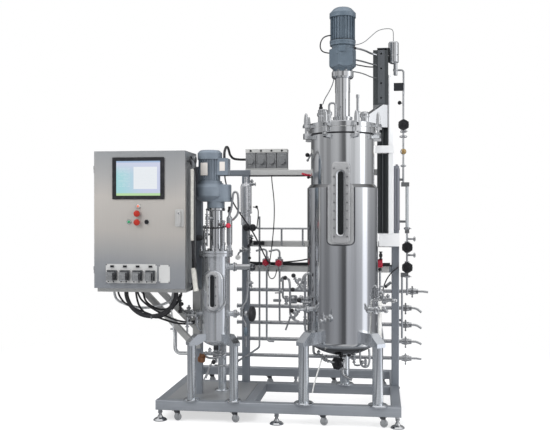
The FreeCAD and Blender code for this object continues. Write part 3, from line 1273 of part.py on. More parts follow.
# ---- Utility headers ------------------------------------------------------
VALVE_LENGTH = 50.0
LEVER_REACH = 33.0
STEM_RADIUS = 5.0
TAIL_DROPS = (4.0, 16.0, 22.0, 28.0, 4.0)


def header_levels():
    """Height and valve start of each header, from the lowest up."""
    for index, end in enumerate(HEADER_ENDS):
        yield HEADER_LOW + index * HEADER_PITCH, end


def utility_headers():
    """Straight headers behind the posts; the lowest has a riser at its left end."""
    solids = []
    for index, (z, end) in enumerate(header_levels()):
        left = HEADER_LEFT if index else RISER_X + 70
        solids.append(tube(HEADER_RADIUS, [(left, HEADER_Y, z), (end, HEADER_Y, z)]))
        if index:
            solids.append(rod(HEADER_RADIUS + 2, (left - 6, HEADER_Y, z), (left, HEADER_Y, z)))
    riser = [(RISER_X + 70, HEADER_Y, HEADER_LOW), (RISER_X, HEADER_Y, HEADER_LOW),
             (RISER_X, HEADER_Y, HEADER_LOW + 150)]
    solids.append(tube(HEADER_RADIUS, riser, 38))
    solids.append(rod(17, (RISER_X, HEADER_Y, HEADER_LOW + 150), (RISER_X, HEADER_Y, HEADER_LOW + 185)))
    solids.append(rod(8, (RISER_X, HEADER_Y, HEADER_LOW + 185), (RISER_X, HEADER_Y, HEADER_LOW + 240)))
    solids.append(rod(6, (RISER_X - 34, HEADER_Y, HEADER_LOW + 168),
                      (RISER_X - 17, HEADER_Y, HEADER_LOW + 168)))
    return solids


def outlet_valves():
    """Ball valves at the headers' right ends, with unions and curved hose tails."""
    solids = []
    for (z, end), drop in zip(header_levels(), TAIL_DROPS):
        middle = end + VALVE_LENGTH / 2
        body = turned_along([(0, 0), (19, 0), (19, 12), (22, 15), (22, 35), (19, 38), (19, 50), (0, 50)],
                            (end, HEADER_Y, z), (1, 0, 0))
        bonnet = rod(12, (middle, HEADER_Y, z), (middle, HEADER_Y - 27, z))
        stem = rod(STEM_RADIUS, (middle, HEADER_Y - 20, z), (middle, HEADER_Y - 40, z))
        solids.append(fused(body, bonnet, stem))
        start = end + VALVE_LENGTH
        nut = hexagon(30, (start, HEADER_Y, z), (start + 16, HEADER_Y, z))
        solids.append(nut)
        tail = [(start + 16, HEADER_Y, z), (start + 48, HEADER_Y, z),
                (start + 82, HEADER_Y, z - drop)]
        solids.append(tube(7.5, tail, 60))
    return solids


def outlet_lever(index):
    """A two-winged handle on an outlet valve's stem."""
    z, end = list(header_levels())[index]
    x = end + VALVE_LENGTH / 2
    hub = rod(8, (x, HEADER_Y - 28, z), (x, HEADER_Y - 40, z))
    wing = box(x - 4, x + 4, HEADER_Y - 38, HEADER_Y - 33, z - LEVER_REACH, z + LEVER_REACH)
    tips = [rod(5.5, (x, HEADER_Y - 39, z + side * LEVER_REACH), (x, HEADER_Y - 32, z + side * LEVER_REACH))
            for side in (-1, 1)]
    bore = rod(STEM_RADIUS + RUNNING_FIT, (x, HEADER_Y, z), (x, HEADER_Y - 60, z))
    return [fused(hub, wing, *tips).cut(bore)]


# ---- Fittings -------------------------------------------------------------
def placed(solid, origin, along, up):
    """Turn a solid so that its X runs along and its Z runs up, then move it."""
    along, up = Vector(*along), Vector(*up)
    turn = FreeCAD.Rotation(along, up.cross(along), up, "ZXY")
    solid.Placement = FreeCAD.Placement(Vector(*origin), turn)
    return solid


def clamp_joint(x, y, z, along, radius=CLAMP_RADIUS):
    """A clamped ferrule joint centred on a point."""
    along = Vector(*along)
    start = Vector(x, y, z) - along * (CLAMP_LENGTH / 2)
    return turned_along([(0, 0), (radius - 7, 0), (radius, 3), (radius, CLAMP_LENGTH - 3),
                         (radius - 7, CLAMP_LENGTH), (0, CLAMP_LENGTH)], start, along)


def diaphragm_body(origin, along, up, reach=38.0, radius=15.0):
    """A diaphragm valve's body and bonnet, without its handwheel."""
    line = rod(radius, (-reach, 0, 0), (reach, 0, 0))
    weir = turned([(0, -16), (16, -16), (22, -6), (22, 14), (0, 14)], 0, 0)
    flange = box(-26, 26, -26, 26, 12, 24)
    flange = flange.makeFillet(8, [e for e in flange.Edges if e.BoundBox.ZLength > 11])
    bonnet = turned([(0, 24), (22, 24), (15, 40), (10, 46), (0, 46)], 0, 0)
    stem = rod(STEM_RADIUS, (0, 0, 40), (0, 0, 62))
    return placed(fused(line, weir, flange, bonnet, stem), origin, along, up)


def handwheel(origin, along, up, radius=HANDWHEEL_RADIUS, base=48.0):
    """A solid moulded handwheel: a dished disc with six finger lobes and a hub."""
    disc = turned([(0, base), (12, base), (14, base + 3), (radius - 5, base + 3),
                   (radius - 3, base + 6), (radius - 3, base + 11), (radius - 7, base + 14),
                   (radius * 0.45, base + 12), (radius * 0.4, base + 17), (0, base + 18)], 0, 0)
    lobes = []
    for index in range(WHEEL_LOBES):
        angle = math.tau * index / WHEEL_LOBES
        x, y = radius * 0.78 * math.cos(angle), radius * 0.78 * math.sin(angle)
        lobes.append(rod(radius * 0.22, (x, y, base + 4), (x, y, base + 13)))
    wheel = fused(disc, *lobes)
    wheel = wheel.cut(rod(STEM_RADIUS + RUNNING_FIT, (0, 0, base - 1), (0, 0, base + 14)))
    return placed(wheel, origin, along, up)


FORWARD = (0, -1, 0)
UP = (0, 0, 1)
RIGHT = (1, 0, 0)
METER_X = SIDE_X + 25.0
DROP_X = SIDE_X - 8.0
SIDE_WHEELS = ((SIDE_X, MAST_TOP - 329.0), (METER_X, 1058.0), (METER_X, 924.0))
RED_VALVES = ((-139.0, 952.0), (-51.0, 950.0))
VALVE_REACH = 38.0
FLOW_TUBE_LOW = 1178.0
FLOW_TUBE_TOP = 1462.0
PIPE_Y = POST_FRONT - SMALL_TUBE_RADIUS
RED_Y = POST_FRONT - 28.0


def side_wheel(index):
    """A black handwheel on the vent and flow meter line."""
    x, z = SIDE_WHEELS[index]
    return [handwheel((x, SIDE_Y, z), UP, FORWARD)]


def red_wheel(index):
    """A red handwheel on a process tube."""
    x, z = RED_VALVES[index]
    return [handwheel((x, RED_Y, z), UP, FORWARD, 24.0)]


def drain_wheel():
    """The handwheel of the production vessel's bottom valve."""
    return [handwheel(drain_origin(), (1, 0, 0), (-0.6, -0.8, 0), 42.0)]


def drain_origin():
    """Centre of the production vessel's bottom valve."""
    return MAIN_X, MAIN_Y, MAIN_BOTTOM - MAIN_DISH - 34 - 38


def side_pipework():
    """Vent canister, regulator, flow meter body and valves beside the lift mast."""
    mast_right = LIFT_RIGHT + LIFT_MAST
    x, y = SIDE_X, SIDE_Y
    r = SMALL_TUBE_RADIUS
    (_, vent_z), (meter_x, upper_z), (_, lower_z) = SIDE_WHEELS
    half = VALVE_REACH
    canister_x, canister_y = LIFT_RIGHT + 34 + CLEARANCE, LIFT_FRONT + 8 + LIFT_MAST / 2
    canister = turned([(0, 78), (20, 78), (34, 86), (34, 128), (32, 131), (34, 134), (34, 212),
                       (28, 220), (0, 220)], canister_x, canister_y, MAST_TOP)
    stem = turned([(0, 0), (13, 0), (13, 26), (16, 28), (16, 40), (13, 42), (13, 82), (0, 82)],
                  canister_x + 13, canister_y, MAST_TOP)
    lead = tube(r, [(canister_x + 20, canister_y, MAST_TOP + 34), (x, canister_y, MAST_TOP + 34),
                    (x, canister_y, MAST_TOP - 60), (x, y, MAST_TOP - 122), (x, y, vent_z + half)], 18)
    valves = [diaphragm_body((vx, y, vz), UP, FORWARD) for vx, vz in SIDE_WHEELS]
    meter_high, meter_low = FLOW_TUBE_TOP + 28, FLOW_TUBE_LOW - 28
    middle = tube(r, [(x, y, vent_z - half), (x, y, meter_high)])
    joints = [clamp_joint(x, y, vent_z - 73, UP), clamp_joint(x, y, meter_high + 110, UP, 18)]
    ball = Part.makeSphere(20, Vector(x, y - 2, vent_z - 173))
    regulator = box(mast_right, x, LIFT_FRONT + 10, LIFT_FRONT + 44, MAST_TOP - 101, MAST_TOP - 53)
    knob_z = MAST_TOP - 179
    knob = rod(12, (x - 26, y - 34, knob_z), (x - 26, y - 12, knob_z))
    knob_arm = rod(4, (x - 26, y - 12, knob_z), (x, y - 2, knob_z))
    head = box(x - 14, meter_x + 14, y - 14, y + 14, FLOW_TUBE_TOP, meter_high)
    solids = [fused(canister, stem, lead, knob, knob_arm, regulator),
              fused(middle, ball, head, *joints)] + valves
    solids.append(box(meter_x - 14, meter_x + 14, y - 14, y + 14, meter_low, FLOW_TUBE_LOW))
    solids.append(tube(r, [(meter_x, y, meter_low), (meter_x, y, upper_z + half)]))
    solids.append(tube(r, [(meter_x, y, upper_z - half), (meter_x, y, lower_z + half)]))
    for z in (meter_low - 38, lower_z + 80):
        solids.append(tube(r, [(meter_x + r, y, z), (meter_x + 42, y, z)]))
        solids.append(clamp_joint(meter_x + 42 + CLAMP_LENGTH / 2, y, z, RIGHT, 16))
    foot_z = lower_z - half
    solids.append(fused(box(DROP_X - 9, meter_x + 9, y - 9, y + 9, foot_z - 28, foot_z),
                        tube(r, [(meter_x, y, foot_z - 26), (meter_x, y, foot_z - 150)]),
                        tube(r, [(DROP_X, y, foot_z - 10), (DROP_X, y, foot_z - 438)])))
    post_right = RIGHT_POST_X + POST / 2
    for z, reach in ((meter_high + 26, x - r), (meter_low + 86, meter_x - 11), (576.0, DROP_X - r)):
        solids.append(box(post_right, reach, y - 4, y + 4, z - 16, z))
    return solids


def slim_canister():
    """The slender stainless canister in front of the right post."""
    x, y = RIGHT_POST_X + 8, POST_FRONT - 20
    return [turned([(0, 0), (8, 0), (8, 14), (20, 24), (20, 430), (8, 446), (8, 458), (0, 458)],
                   x, y, LIFT_BOTTOM)]


def flow_tube():
    """The flow meter's upright glass tube."""
    return [ring(11, 8, (METER_X, SIDE_Y, FLOW_TUBE_LOW), (METER_X, SIDE_Y, FLOW_TUBE_TOP))]


def inlet_filter():
    """The filter housing on the middle post: a base, a clamp, the bell and its outlet."""
    x = MID_POST_X + 11
    y = POST_FRONT - 40 - CLEARANCE
    low = 1204.0
    outline = [(0, 0), (33, 0), (33, 62), (26, 66), (26, 74), (35, 78), (40, 80), (40, 90), (35, 93),
               (38, 98), (38, 262), (32, 278), (13, 286), (13, 326), (0, 326)]
    bracket = box(x - 14, x + 14, POST_FRONT - 16, POST_FRONT, low + 150, low + 190)
    bell = turned(outline, x, y, low)
    return [bell, bracket.cut(rod(38, (x, y, low), (x, y, low + 300)))]


def process_pipework():
    """Small tubes clipped to the rails, with elbows at their ends."""
    r = SMALL_TUBE_RADIUS
    solids = []
    clip_z = LOWER_RAIL_Z + 12
    half = VALVE_REACH
    for (x, z), low in zip(RED_VALVES, (415.0, 541.0)):
        y = RED_Y
        solids.append(diaphragm_body((x, y, z), UP, FORWARD, half, 13))
        solids.append(box(x - 6, x + 6, y + r, POST_FRONT, clip_z, clip_z + 14))
        solids.append(tube(r, [(x, y, z - half), (x, y, low + 40)]))
        solids.append(tube(r, [(x, y, low + 40), (x, y, low), (x + 50, y, low)], 25))
        solids.append(tube(r, [(x, y, z + half), (x, y, z + 92), (x - 74, y, z + 76)], 22))
    y = PIPE_Y
    column = -192.0
    rail_z = UPPER_RAIL_Z + 124
    solids.append(tube(r, [(column, y, rail_z + 82), (column, y, 420)]))
    solids.append(tube(r, [(column, y, 420), (column, y, 370), (column - 100, y, 300)], 30))
    solids.append(tube(r, [(column + r, y, rail_z), (LIFT_LEFT, y, rail_z)]))
    for x in (-40.0, 104.0):
        solids.append(rod(r, (x, y, UPPER_RAIL_Z + 8), (x, y, rail_z - r)))
    return solids


def valve_manifold():
    """Sampling and feed valves on the production vessel's left side port."""
    y = MAIN_Y
    z = MAIN_PORTS[0][1]
    reach = MAIN_RADIUS - 3 + JACKET_RADIUS - MAIN_RADIUS + 41
    face = MAIN_X - reach
    body = diaphragm_body((face - CLAMP_LENGTH - 38, y, z), RIGHT, FORWARD)
    solids = [clamp_joint(face - CLAMP_LENGTH / 2, y, z, RIGHT), body]
    far = face - CLAMP_LENGTH - 76
    lead = tube(SMALL_TUBE_RADIUS, [(far, y, z), (far - 30, y, z), (far - 30, y, z + 130)], 22)
    rod_handle = rod(4, (far - 30, y, z + 40), (far - 78, y - 20, z + 40))
    ball = Part.makeSphere(KNOB_RADIUS, Vector(far - 30, y, z + 136))
    solids.append(fused(lead, rod_handle, ball))
    return solids


def side_valves():
    """Small valves with knobs on the remaining side ports of both vessels."""
    solids = []
    for angle, z, bore in MAIN_PORTS[1:]:
        reach = JACKET_RADIUS + 38 + CLAMP_LENGTH / 2
        ahead = (math.cos(math.radians(angle)), math.sin(math.radians(angle)), 0)
        x, y = MAIN_X + ahead[0] * reach, MAIN_Y + ahead[1] * reach
        solids.append(clamp_joint(x, y, z, ahead))
        solids.append(knob_valve((x, y, z), ahead))
    for angle, z, bore in SEED_PORTS:
        reach = SEED_RADIUS + 32 + CLAMP_LENGTH / 2
        ahead = (math.cos(math.radians(angle)), math.sin(math.radians(angle)), 0)
        x, y = SEED_X + ahead[0] * reach, SEED_Y + ahead[1] * reach
        solids.append(clamp_joint(x, y, z, ahead))
        fitting = knob_valve if bore == PORT_BORE else probe_holder
        solids.append(fitting((x, y, z), ahead))
    return solids


def probe_holder(joint, ahead):
    """A straight probe holder with a cap at its outer end, fixed to a clamp joint's outer face."""
    start = Vector(*joint) + Vector(*ahead) * (CLAMP_LENGTH / 2)
    outline = [(0, 0), (18, 0), (18, 82), (21, 84), (21, 110), (17, 114), (0, 114)]
    return turned_along(outline, start, ahead)


def knob_valve(joint, ahead):
    """A needle valve body with a ball knob, fixed to a clamp joint's outer face."""
    start = Vector(*joint) + Vector(*ahead) * (CLAMP_LENGTH / 2)
    outline = [(0, 0), (14, 0), (14, 8), (9, 12), (9, 34), (6, 36), (6, 46), (KNOB_RADIUS + 3, 50),
               (KNOB_RADIUS + 3, 62), (KNOB_RADIUS - 1, 68), (0, 70)]
    return turned_along(outline, start, ahead)


def drain_valves():
    """Bottom valves of both vessels, clamped under their drain nozzles."""
    x, y, z = drain_origin()
    solids = [diaphragm_body((x, y, z), UP, (-0.6, -0.8, 0), 38, 24)]
    solids.append(tube(TUBE_RADIUS, [(x, y, z - 38), (x, y, z - 80), (x + 60, y, z - 110)], 30))
    seed_z = SEED_BOTTOM - SEED_DISH - 25
    seed = turned([(0, 0), (10, 0), (10, 30), (20, 34), (20, 62), (15, 68), (15, 80), (0, 80)],
                  SEED_X, SEED_Y, seed_z - 80)
    lever = rod(4, (SEED_X - 12, SEED_Y, seed_z - 50), (SEED_X - 78, SEED_Y - 30, seed_z - 200))
    solids.append(fused(seed, lever))
    return solids


RACK_LEFT = -290.0
RACK_RIGHT = -4.0


def rack_pumps():
    """The pump rack on the top rail: a back panel and four pumps."""
    left, right = RACK_LEFT, RACK_RIGHT
    base = TOP_RAIL_Z + TOP_RAIL_HEIGHT
    solids = [box(left, right, POST_FRONT, POST_BACK + 40, base, base + 10),
              box(left, right, POST_FRONT, POST_BACK + 40, base + 118, base + 142)]
    pitch = (right - left) / 4
    for index in range(4):
        x = left + pitch * (index + 0.5)
        solids.append(box(x - pitch / 2 + 1, x + pitch / 2 - 1, POST_FRONT + 4, POST_BACK + 36,
                          base + 10, base + 118))
        solids.append(rod(pitch * 0.3, (x, POST_FRONT - 18, base + 60), (x, POST_FRONT + 4, base + 60)))
    return solids


def lid_fittings():
    """What stands on the lids' ports: sensors, a rod probe, a gooseneck vent and a condenser."""
    ferrule = [(0, 0), (18, 0), (18, 12)]
    wide_ferrule = [(0, 0), (24, 0), (24, 12)]
    shapes = [[(0, 0), (34, 0), (36, 4), (36, 10), (30, 14), (30, 30), (26, 34), (0, 34)],
              ferrule + [(8, 16), (8, 94), (10, 96), (10, 117), (0, 117)],
              wide_ferrule + [(14, 16), (14, 44), (0, 44)],
              wide_ferrule + [(10, 16), (10, 40), (0, 40)],
              [(0, 0), (29, 0), (29, 12), (20, 26), (0, 30)],
              ferrule + [(9, 16), (9, 24), (0, 24)]]
    top = MAIN_LID_TOP + LID_PORT_HEIGHT
    solids = []
    for (angle, circle, _), outline in zip(LID_PORTS, shapes):
        px = MAIN_X + circle * math.cos(math.radians(angle))
        py = MAIN_Y + circle * math.sin(math.radians(angle))
        solids.append(turned(outline, px, py, top))
    neck = top + 20
    vent = tube(SMALL_TUBE_RADIUS, [(px, py, neck), (px, py, neck + 46), (px + 40, py - 12, neck + 46),
                                    (px + 40, py - 12, MAIN_LID_TOP + 34)], 18)
    solids[-1] = fused(solids[-1], vent)
    small = [(0, 0), (12, 0), (12, 12)]
    shapes = [small + [(7, 16), (7, 34), (14, 36), (14, 52), (0, 54)],
              [(0, 0), (16, 0), (16, 10), (18, 14), (18, 170), (8, 184), (8, 204), (0, 204)],
              small + [(6, 16), (6, 60), (0, 60)],
              small + [(6, 16), (6, 110), (0, 110)],
              small + [(8, 16), (8, 90), (10, 92), (10, 116), (0, 118)]]
    top = SEED_LID_Z + SEED_LID_PLATE + SEED_LID_PORT_HEIGHT
    for (angle, circle, _), outline in zip(SEED_LID_PORTS, shapes):
        px = SEED_X + circle * math.cos(math.radians(angle))
        py = SEED_Y + circle * math.sin(math.radians(angle))
        solids.append(turned(outline, px, py, top))
    return solids


# ---- Cables ---------------------------------------------------------------
CABLE_ENTRY_Z = 590.0


def cabinet_cables():
    """Black cables from the cabinet's floor to the entry on the cabinet arms."""
    floor = CABINET_BOTTOM
    entry_y = CABINET_BACK - ARM
    x, z = CABINET_POST_X, CABLE_ENTRY_Z
    thin = [(-1010, -520, floor), (-1010, -520, floor - 50), (-978, -518, floor - 102),
            (-918, -515, floor - 138), (-846, -512, floor - 162), (-774, -508, floor - 190),
            (-704, -504, floor - 214), (-640, -498, floor - 232), (-580, -492, z),
            (x - 12, -472, z), (x - 12, entry_y, z)]
    second = [(-880, -530, floor), (-880, -530, floor - 44), (-854, -538, floor - 86),
              (-808, -544, floor - 120), (-754, -548, floor - 150), (-698, -546, floor - 180),
              (-640, -538, floor - 206), (-584, -524, z + 16), (x + 12, -484, z + 16),
              (x + 12, entry_y, z + 16)]
    loop = [(-940, -572, floor), (-940, -572, floor - 62), (-908, -574, floor - 128),
            (-848, -575, floor - 172), (-776, -575, floor - 184), (-704, -575, floor - 166),
            (-648, -574, floor - 118), (-622, -572, floor - 58), (-622, -572, floor)]
    return [cord("thin cable", 6.0, thin), cord("second cable", 6.0, second),
            cord("cable bundle", 13.0, loop)]


def drive_cables():
    """The motors' cables: down from the large motor, and across from the small one."""
    turn = math.radians(MAIN_BOX_ANGLE)
    x, y = MAIN_X + 100 * math.cos(turn), MAIN_Y + 100 * math.sin(turn)
    low = MAIN_GEARBOX_TOP + BOX_RISE * (MAIN_MOTOR_TOP - MAIN_GEARBOX_TOP)
    end_y, end_z = LIFT_FRONT + 18, low - 155
    route = [(x, y, low), (x, y, low - 52), (x + 16, y + 22, low - 100), (x + 48, y + 62, low - 132),
             (x + 84, y + 112, low - 148), (LIFT_LEFT - 52, end_y, end_z), (LIFT_LEFT, end_y, end_z)]
    box_x = SEED_X - SEED_MOTOR_OFFSET + 92
    box_z = SEED_GEARBOX_TOP + BOX_RISE * (SEED_MOTOR_TOP - SEED_GEARBOX_TOP) + SEED_BOX_HEIGHT
    rack_y, rack_z = POST_FRONT + 44, TOP_RAIL_Z + TOP_RAIL_HEIGHT + 74
    over = [(box_x, SEED_Y, box_z), (box_x, SEED_Y, box_z + 40), (box_x - 2, SEED_Y + 60, box_z + 76),
            (box_x - 10, SEED_Y + 160, box_z + 85), (box_x - 24, SEED_Y + 270, box_z + 77),
            (box_x - 38, SEED_Y + 370, box_z + 65), (box_x - 48, rack_y - 86, box_z + 55),
            (box_x - 36, rack_y - 30, rack_z + 4), (RACK_LEFT - 48, rack_y, rack_z),
            (RACK_LEFT + 1, rack_y, rack_z)]
    return [cord("large motor cable", 4.0, route), cord("seed motor cable", 8.0, over)]


# ---- The whole assembly ---------------------------------------------------
def all_nodes():
    """Every node's solids by name, in the skid's own frame."""
    nodes = {
        "base_frame": base_frame(), "seed_tray": seed_tray(), "levelling_feet": levelling_feet(),
        "casters": caster_forks() + caster_wheels(),
        "support_frame": support_frame(), "cabinet_arms": cabinet_arms(),
        "main_vessel": main_vessel() + main_nozzles(), "main_jacket": main_jacket(),
        "main_legs": main_legs(), "main_sight_frame": main_sight_frame(),
        "sight_glasses": main_sight_glass() + seed_sight_glass() + flow_tube(),
        "main_lid": main_lid(), "lid_gaskets": gaskets(), "main_clamps": main_clamps(),
        "main_agitator": main_agitator(), "main_pedestal": main_pedestal(),
        "main_gearbox": main_gearbox(), "main_motor": main_motor(),
        "seed_vessel": seed_vessel(), "seed_legs": seed_legs(),
        "seed_sight_frame": seed_sight_frame(), "seed_lid": seed_lid(),
        "seed_clamps": seed_clamps(), "seed_agitator": seed_agitator(),
        "seed_pedestal": seed_pedestal(), "seed_gearbox": seed_gearbox(), "seed_motor": seed_motor(),
        "lid_fittings": lid_fittings(), "lift_column": lift_column(), "lift_carriage": lift_carriage(),
        "cabinet_case": cabinet_case(), "cabinet_door": cabinet_door(), "hmi_bezel": hmi_bezel(),
        "hmi_screen": hmi_screen(), "door_pumps": door_pumps(),
        "panel_fittings": panel_rings() + handle_escutcheon(), "door_handle": door_handle(),
        "stop_button_upper": mushroom(STOPS[0]), "stop_button_lower": mushroom(STOPS[1]),
        "start_button": start_button(), "selector_switch": selector_switch(),
        "rack_pumps": rack_pumps(), "utility_headers": utility_headers(),
        "outlet_valves": outlet_valves(), "side_pipework": side_pipework() + slim_canister(),
        "process_pipework": process_pipework() + inlet_filter(),
        "vessel_valves": valve_manifold() + side_valves() + drain_valves(),
        "drain_wheel": drain_wheel(), "cabinet_cables": cabinet_cables(),
        "drive_cables": drive_cables()}
    for index in range(len(HEADER_ENDS)):
        nodes["outlet_lever_%d" % (index + 1)] = outlet_lever(index)
    for index in range(len(SIDE_WHEELS)):
        nodes["side_wheel_%d" % (index + 1)] = side_wheel(index)
    for index in range(len(RED_VALVES)):
        nodes["red_wheel_%d" % (index + 1)] = red_wheel(index)
    return nodes


def main():
    """Builds every node, shifts it to the origin and writes its STEP file."""
    nodes = all_nodes()
    bounds = FreeCAD.BoundBox()
    for solids in nodes.values():
        for solid in solids:
            bounds.add(solid.BoundBox)
    shift = Vector(-bounds.Center.x, -bounds.Center.y, -bounds.ZMin)
    print("nodes", len(nodes), "shift", shift, "size", bounds.XLength, bounds.YLength, bounds.ZLength)
    os.makedirs("parts", exist_ok=True)
    for name, solids in nodes.items():
        shape = solids[0] if len(solids) == 1 else Part.makeCompound(solids)
        shape.translate(shift)
        shape.exportStep("parts/%s.step" % name)


main()
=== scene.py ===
"""Looks of the two-vessel bioreactor skid: finishes, added fittings, floor, lamps and camera."""

import logging
import math
from dataclasses import dataclass, replace
from enum import Enum
from typing import Any, Callable, Iterable, Optional, Sequence

import bmesh
import bpy
from mathutils import Matrix, Vector


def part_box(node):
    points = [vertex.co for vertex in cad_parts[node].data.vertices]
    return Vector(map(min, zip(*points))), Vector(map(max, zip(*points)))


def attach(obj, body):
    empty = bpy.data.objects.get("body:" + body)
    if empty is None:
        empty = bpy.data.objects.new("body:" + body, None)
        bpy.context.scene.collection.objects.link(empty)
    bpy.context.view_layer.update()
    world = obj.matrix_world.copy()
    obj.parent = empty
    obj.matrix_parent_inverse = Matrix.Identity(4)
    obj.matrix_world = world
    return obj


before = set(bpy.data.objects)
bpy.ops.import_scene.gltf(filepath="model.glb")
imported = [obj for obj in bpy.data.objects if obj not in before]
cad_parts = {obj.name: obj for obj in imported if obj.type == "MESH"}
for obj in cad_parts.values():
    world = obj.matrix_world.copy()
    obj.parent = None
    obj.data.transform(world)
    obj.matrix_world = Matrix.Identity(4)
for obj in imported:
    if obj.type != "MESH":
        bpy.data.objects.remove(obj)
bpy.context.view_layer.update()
log = logging.getLogger("skid")

Colour = tuple[float, float, float]
Point = tuple[float, float, float]
Span = tuple[float, float]
MM = 0.001
# How far the front rail's face stands before the base frame's middle.
RAIL_FACE = 590.0
UP, ACROSS, FORWARD = (0, 0, 1), (1, 0, 0), (0, -1, 0)


# ---- The plan -------------------------------------------------------------
@dataclass(frozen=True)
class Plan:
    """Turns the skid's own millimetres into the row frame's metres.

    The skid's X is 0 at the middle of the base frame, its Y is -590 at the front rail's face
    and its Z is 0 at the floor.
    """

    x: float
    y: float

    def at(self, x: float, y: float, z: float) -> Vector:
        """Gives the place of a point, in metres in the row frame."""
        return Vector((self.x + x * MM, self.y + y * MM, z * MM))


def read_plan() -> Plan:
    """Reads where the base frame stands."""
    low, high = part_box("base_frame")
    return Plan((low[0] + high[0]) / 2, low[1] + RAIL_FACE * MM)


PLAN = read_plan()


# ---- Shader expressions ---------------------------------------------------
class Value:
    """A number on a socket that takes part in Python expressions."""

    def __init__(self, nodes: "Nodes", socket: Any) -> None:
        """Keeps the tree and the socket."""
        self.nodes = nodes
        self.socket = socket

    def __add__(self, other: Any) -> "Value":
        """Adds."""
        return self.nodes.math("ADD", self, other)

    __radd__ = __add__

    def __sub__(self, other: Any) -> "Value":
        """Takes away."""
        return self.nodes.math("SUBTRACT", self, other)

    def __rsub__(self, other: Any) -> "Value":
        """Is taken away."""
        return self.nodes.math("SUBTRACT", other, self)

    def __mul__(self, other: Any) -> "Value":
        """Multiplies."""
        return self.nodes.math("MULTIPLY", self, other)

    __rmul__ = __mul__

    def __truediv__(self, other: Any) -> "Value":
        """Divides."""
        return self.nodes.math("DIVIDE", self, other)

    def __gt__(self, other: Any) -> "Value":
        """Is 1 where this is more."""
        return self.nodes.math("GREATER_THAN", self, other)

    def __lt__(self, other: Any) -> "Value":
        """Is 1 where this is less."""
        return self.nodes.math("LESS_THAN", self, other)

    def ramp(self, low: float, high: float) -> "Value":
        """Rises smoothly from 0 at low to 1 at high."""
        return self.nodes.add("ShaderNodeMapRange", {"interpolation_type": "SMOOTHSTEP"},
                              {0: self, 1: low, 2: high, 3: 0.0, 4: 1.0})

    def within(self, low: float, high: float) -> "Value":
        """Is 1 from low to high and 0 elsewhere."""
        return (self > low) * (self < high)

    def clamped(self) -> "Value":
        """Keeps the number from 0 to 1."""
        return self.nodes.math("ADD", self, 0.0, clamp=True)


class Nodes:
    """One node tree and the few ways that it grows."""

    def __init__(self, tree: Any) -> None:
        """Empties the tree."""
        self.tree = tree
        tree.nodes.clear()

    def add(self, kind: str, settings: Optional[dict] = None, inputs: Optional[dict] = None,
            output: Any = 0) -> Value:
        """Adds any node.

        Args:
            kind: The node's type.
            settings: Its settings, such as an operation; "stops" fills a colour ramp.
            inputs: Numbers, colours or links for its sockets, by name or place.
            output: The socket to hand back, by name or place.

        Returns:
            The wrapped output.
        """
        node = self.tree.nodes.new(kind)
        for name, setting in (settings or {}).items():
            if name == "stops":
                self._fill_ramp(node.color_ramp, setting)
            else:
                setattr(node, name, setting)
        for name, value in (inputs or {}).items():
            socket = node.inputs[name]
            if isinstance(value, Value):
                self.tree.links.new(value.socket, socket)
            else:
                socket.default_value = (*value, 1.0) if socket.type == "RGBA" else value
        return Value(self, node.outputs[output] if node.outputs else node)

    @staticmethod
    def _fill_ramp(ramp: Any, stops: Sequence[tuple[float, Colour]]) -> None:
        """Puts the stops on a ramp whose first and last elements exist.

        Args:
            ramp: The node's colour ramp.
            stops: Places from 0 to 1 and their colours.
        """
        while len(ramp.elements) < len(stops):
            ramp.elements.new(0.5)
        for element, (place, colour) in zip(ramp.elements, stops):
            element.position = place
            element.color = (*colour, 1.0)

    def math(self, operation: str, *values: Any, clamp: bool = False) -> Value:
        """Adds a Math node for the values, which are numbers or links."""
        return self.add("ShaderNodeMath", {"operation": operation, "use_clamp": clamp},
                        dict(enumerate(values)))

    def split(self, vector: Value) -> tuple[Value, ...]:
        """Takes a vector apart.

        Args:
            vector: The vector.

        Returns:
            Its three parts.
        """
        node = self.tree.nodes.new("ShaderNodeSeparateXYZ")
        self.tree.links.new(vector.socket, node.inputs[0])
        return tuple(Value(self, socket) for socket in node.outputs)

    def place(self) -> tuple[Value, ...]:
        """Gives the object coordinates as three values, in metres."""
        return self.split(self.add("ShaderNodeTexCoord", output="Object"))

    def inside(self, *spans: Optional[Span]) -> Any:
        """Gives a mask that is 1 in a box.

        Args:
            spans: From where to where the box goes along X, Y and Z, in the skid's
                millimetres; None along an axis that doesn't count.

        Returns:
            The mask.
        """
        mask: Any = 1.0
        for value, span, origin in zip(self.place(), spans, (PLAN.x, PLAN.y, 0.0)):
            if span is not None:
                mask = value.within(origin + span[0] * MM, origin + span[1] * MM) * mask
        return mask

    def noise(self, scale: float, stretch: Point = (1, 1, 1), detail: float = 3.0) -> Value:
        """A noise from 0 to 1.

        Args:
            scale: Features to a metre.
            stretch: The factor along each axis.
            detail: Octaves.

        Returns:
            The noise.
        """
        place = self.add("ShaderNodeTexCoord", output="Object")
        stretched = self.add("ShaderNodeMapping", inputs={"Vector": place, "Scale": stretch})
        return self.add("ShaderNodeTexNoise", output="Fac", inputs={
            "Vector": stretched, "Scale": scale, "Detail": detail})

    def mix(self, mask: Any, first: Any, second: Any) -> Value:
        """Mixes two colours, the second where the mask is 1."""
        return self.add("ShaderNodeMix", {"data_type": "RGBA"}, {0: mask, 6: first, 7: second}, 2)

    def bump(self, height: Value, strength: float, distance: float) -> Value:
        """A bumped normal."""
        return self.add("ShaderNodeBump", inputs={"Height": height, "Strength": strength,
                                                  "Distance": distance})

    def mixed_shader(self, mask: Value, first: Value, second: Value) -> Value:
        """Mixes two shaders, the second where the mask is 1."""
        return self.add("ShaderNodeMixShader", inputs={0: mask, 1: first, 2: second})


# ---- Finishes -------------------------------------------------------------
# How deep the finishes' textures are, in metres.
FINE_RELIEF, MOULD_RELIEF, PEEL_RELIEF = 0.00002, 0.00003, 0.00005


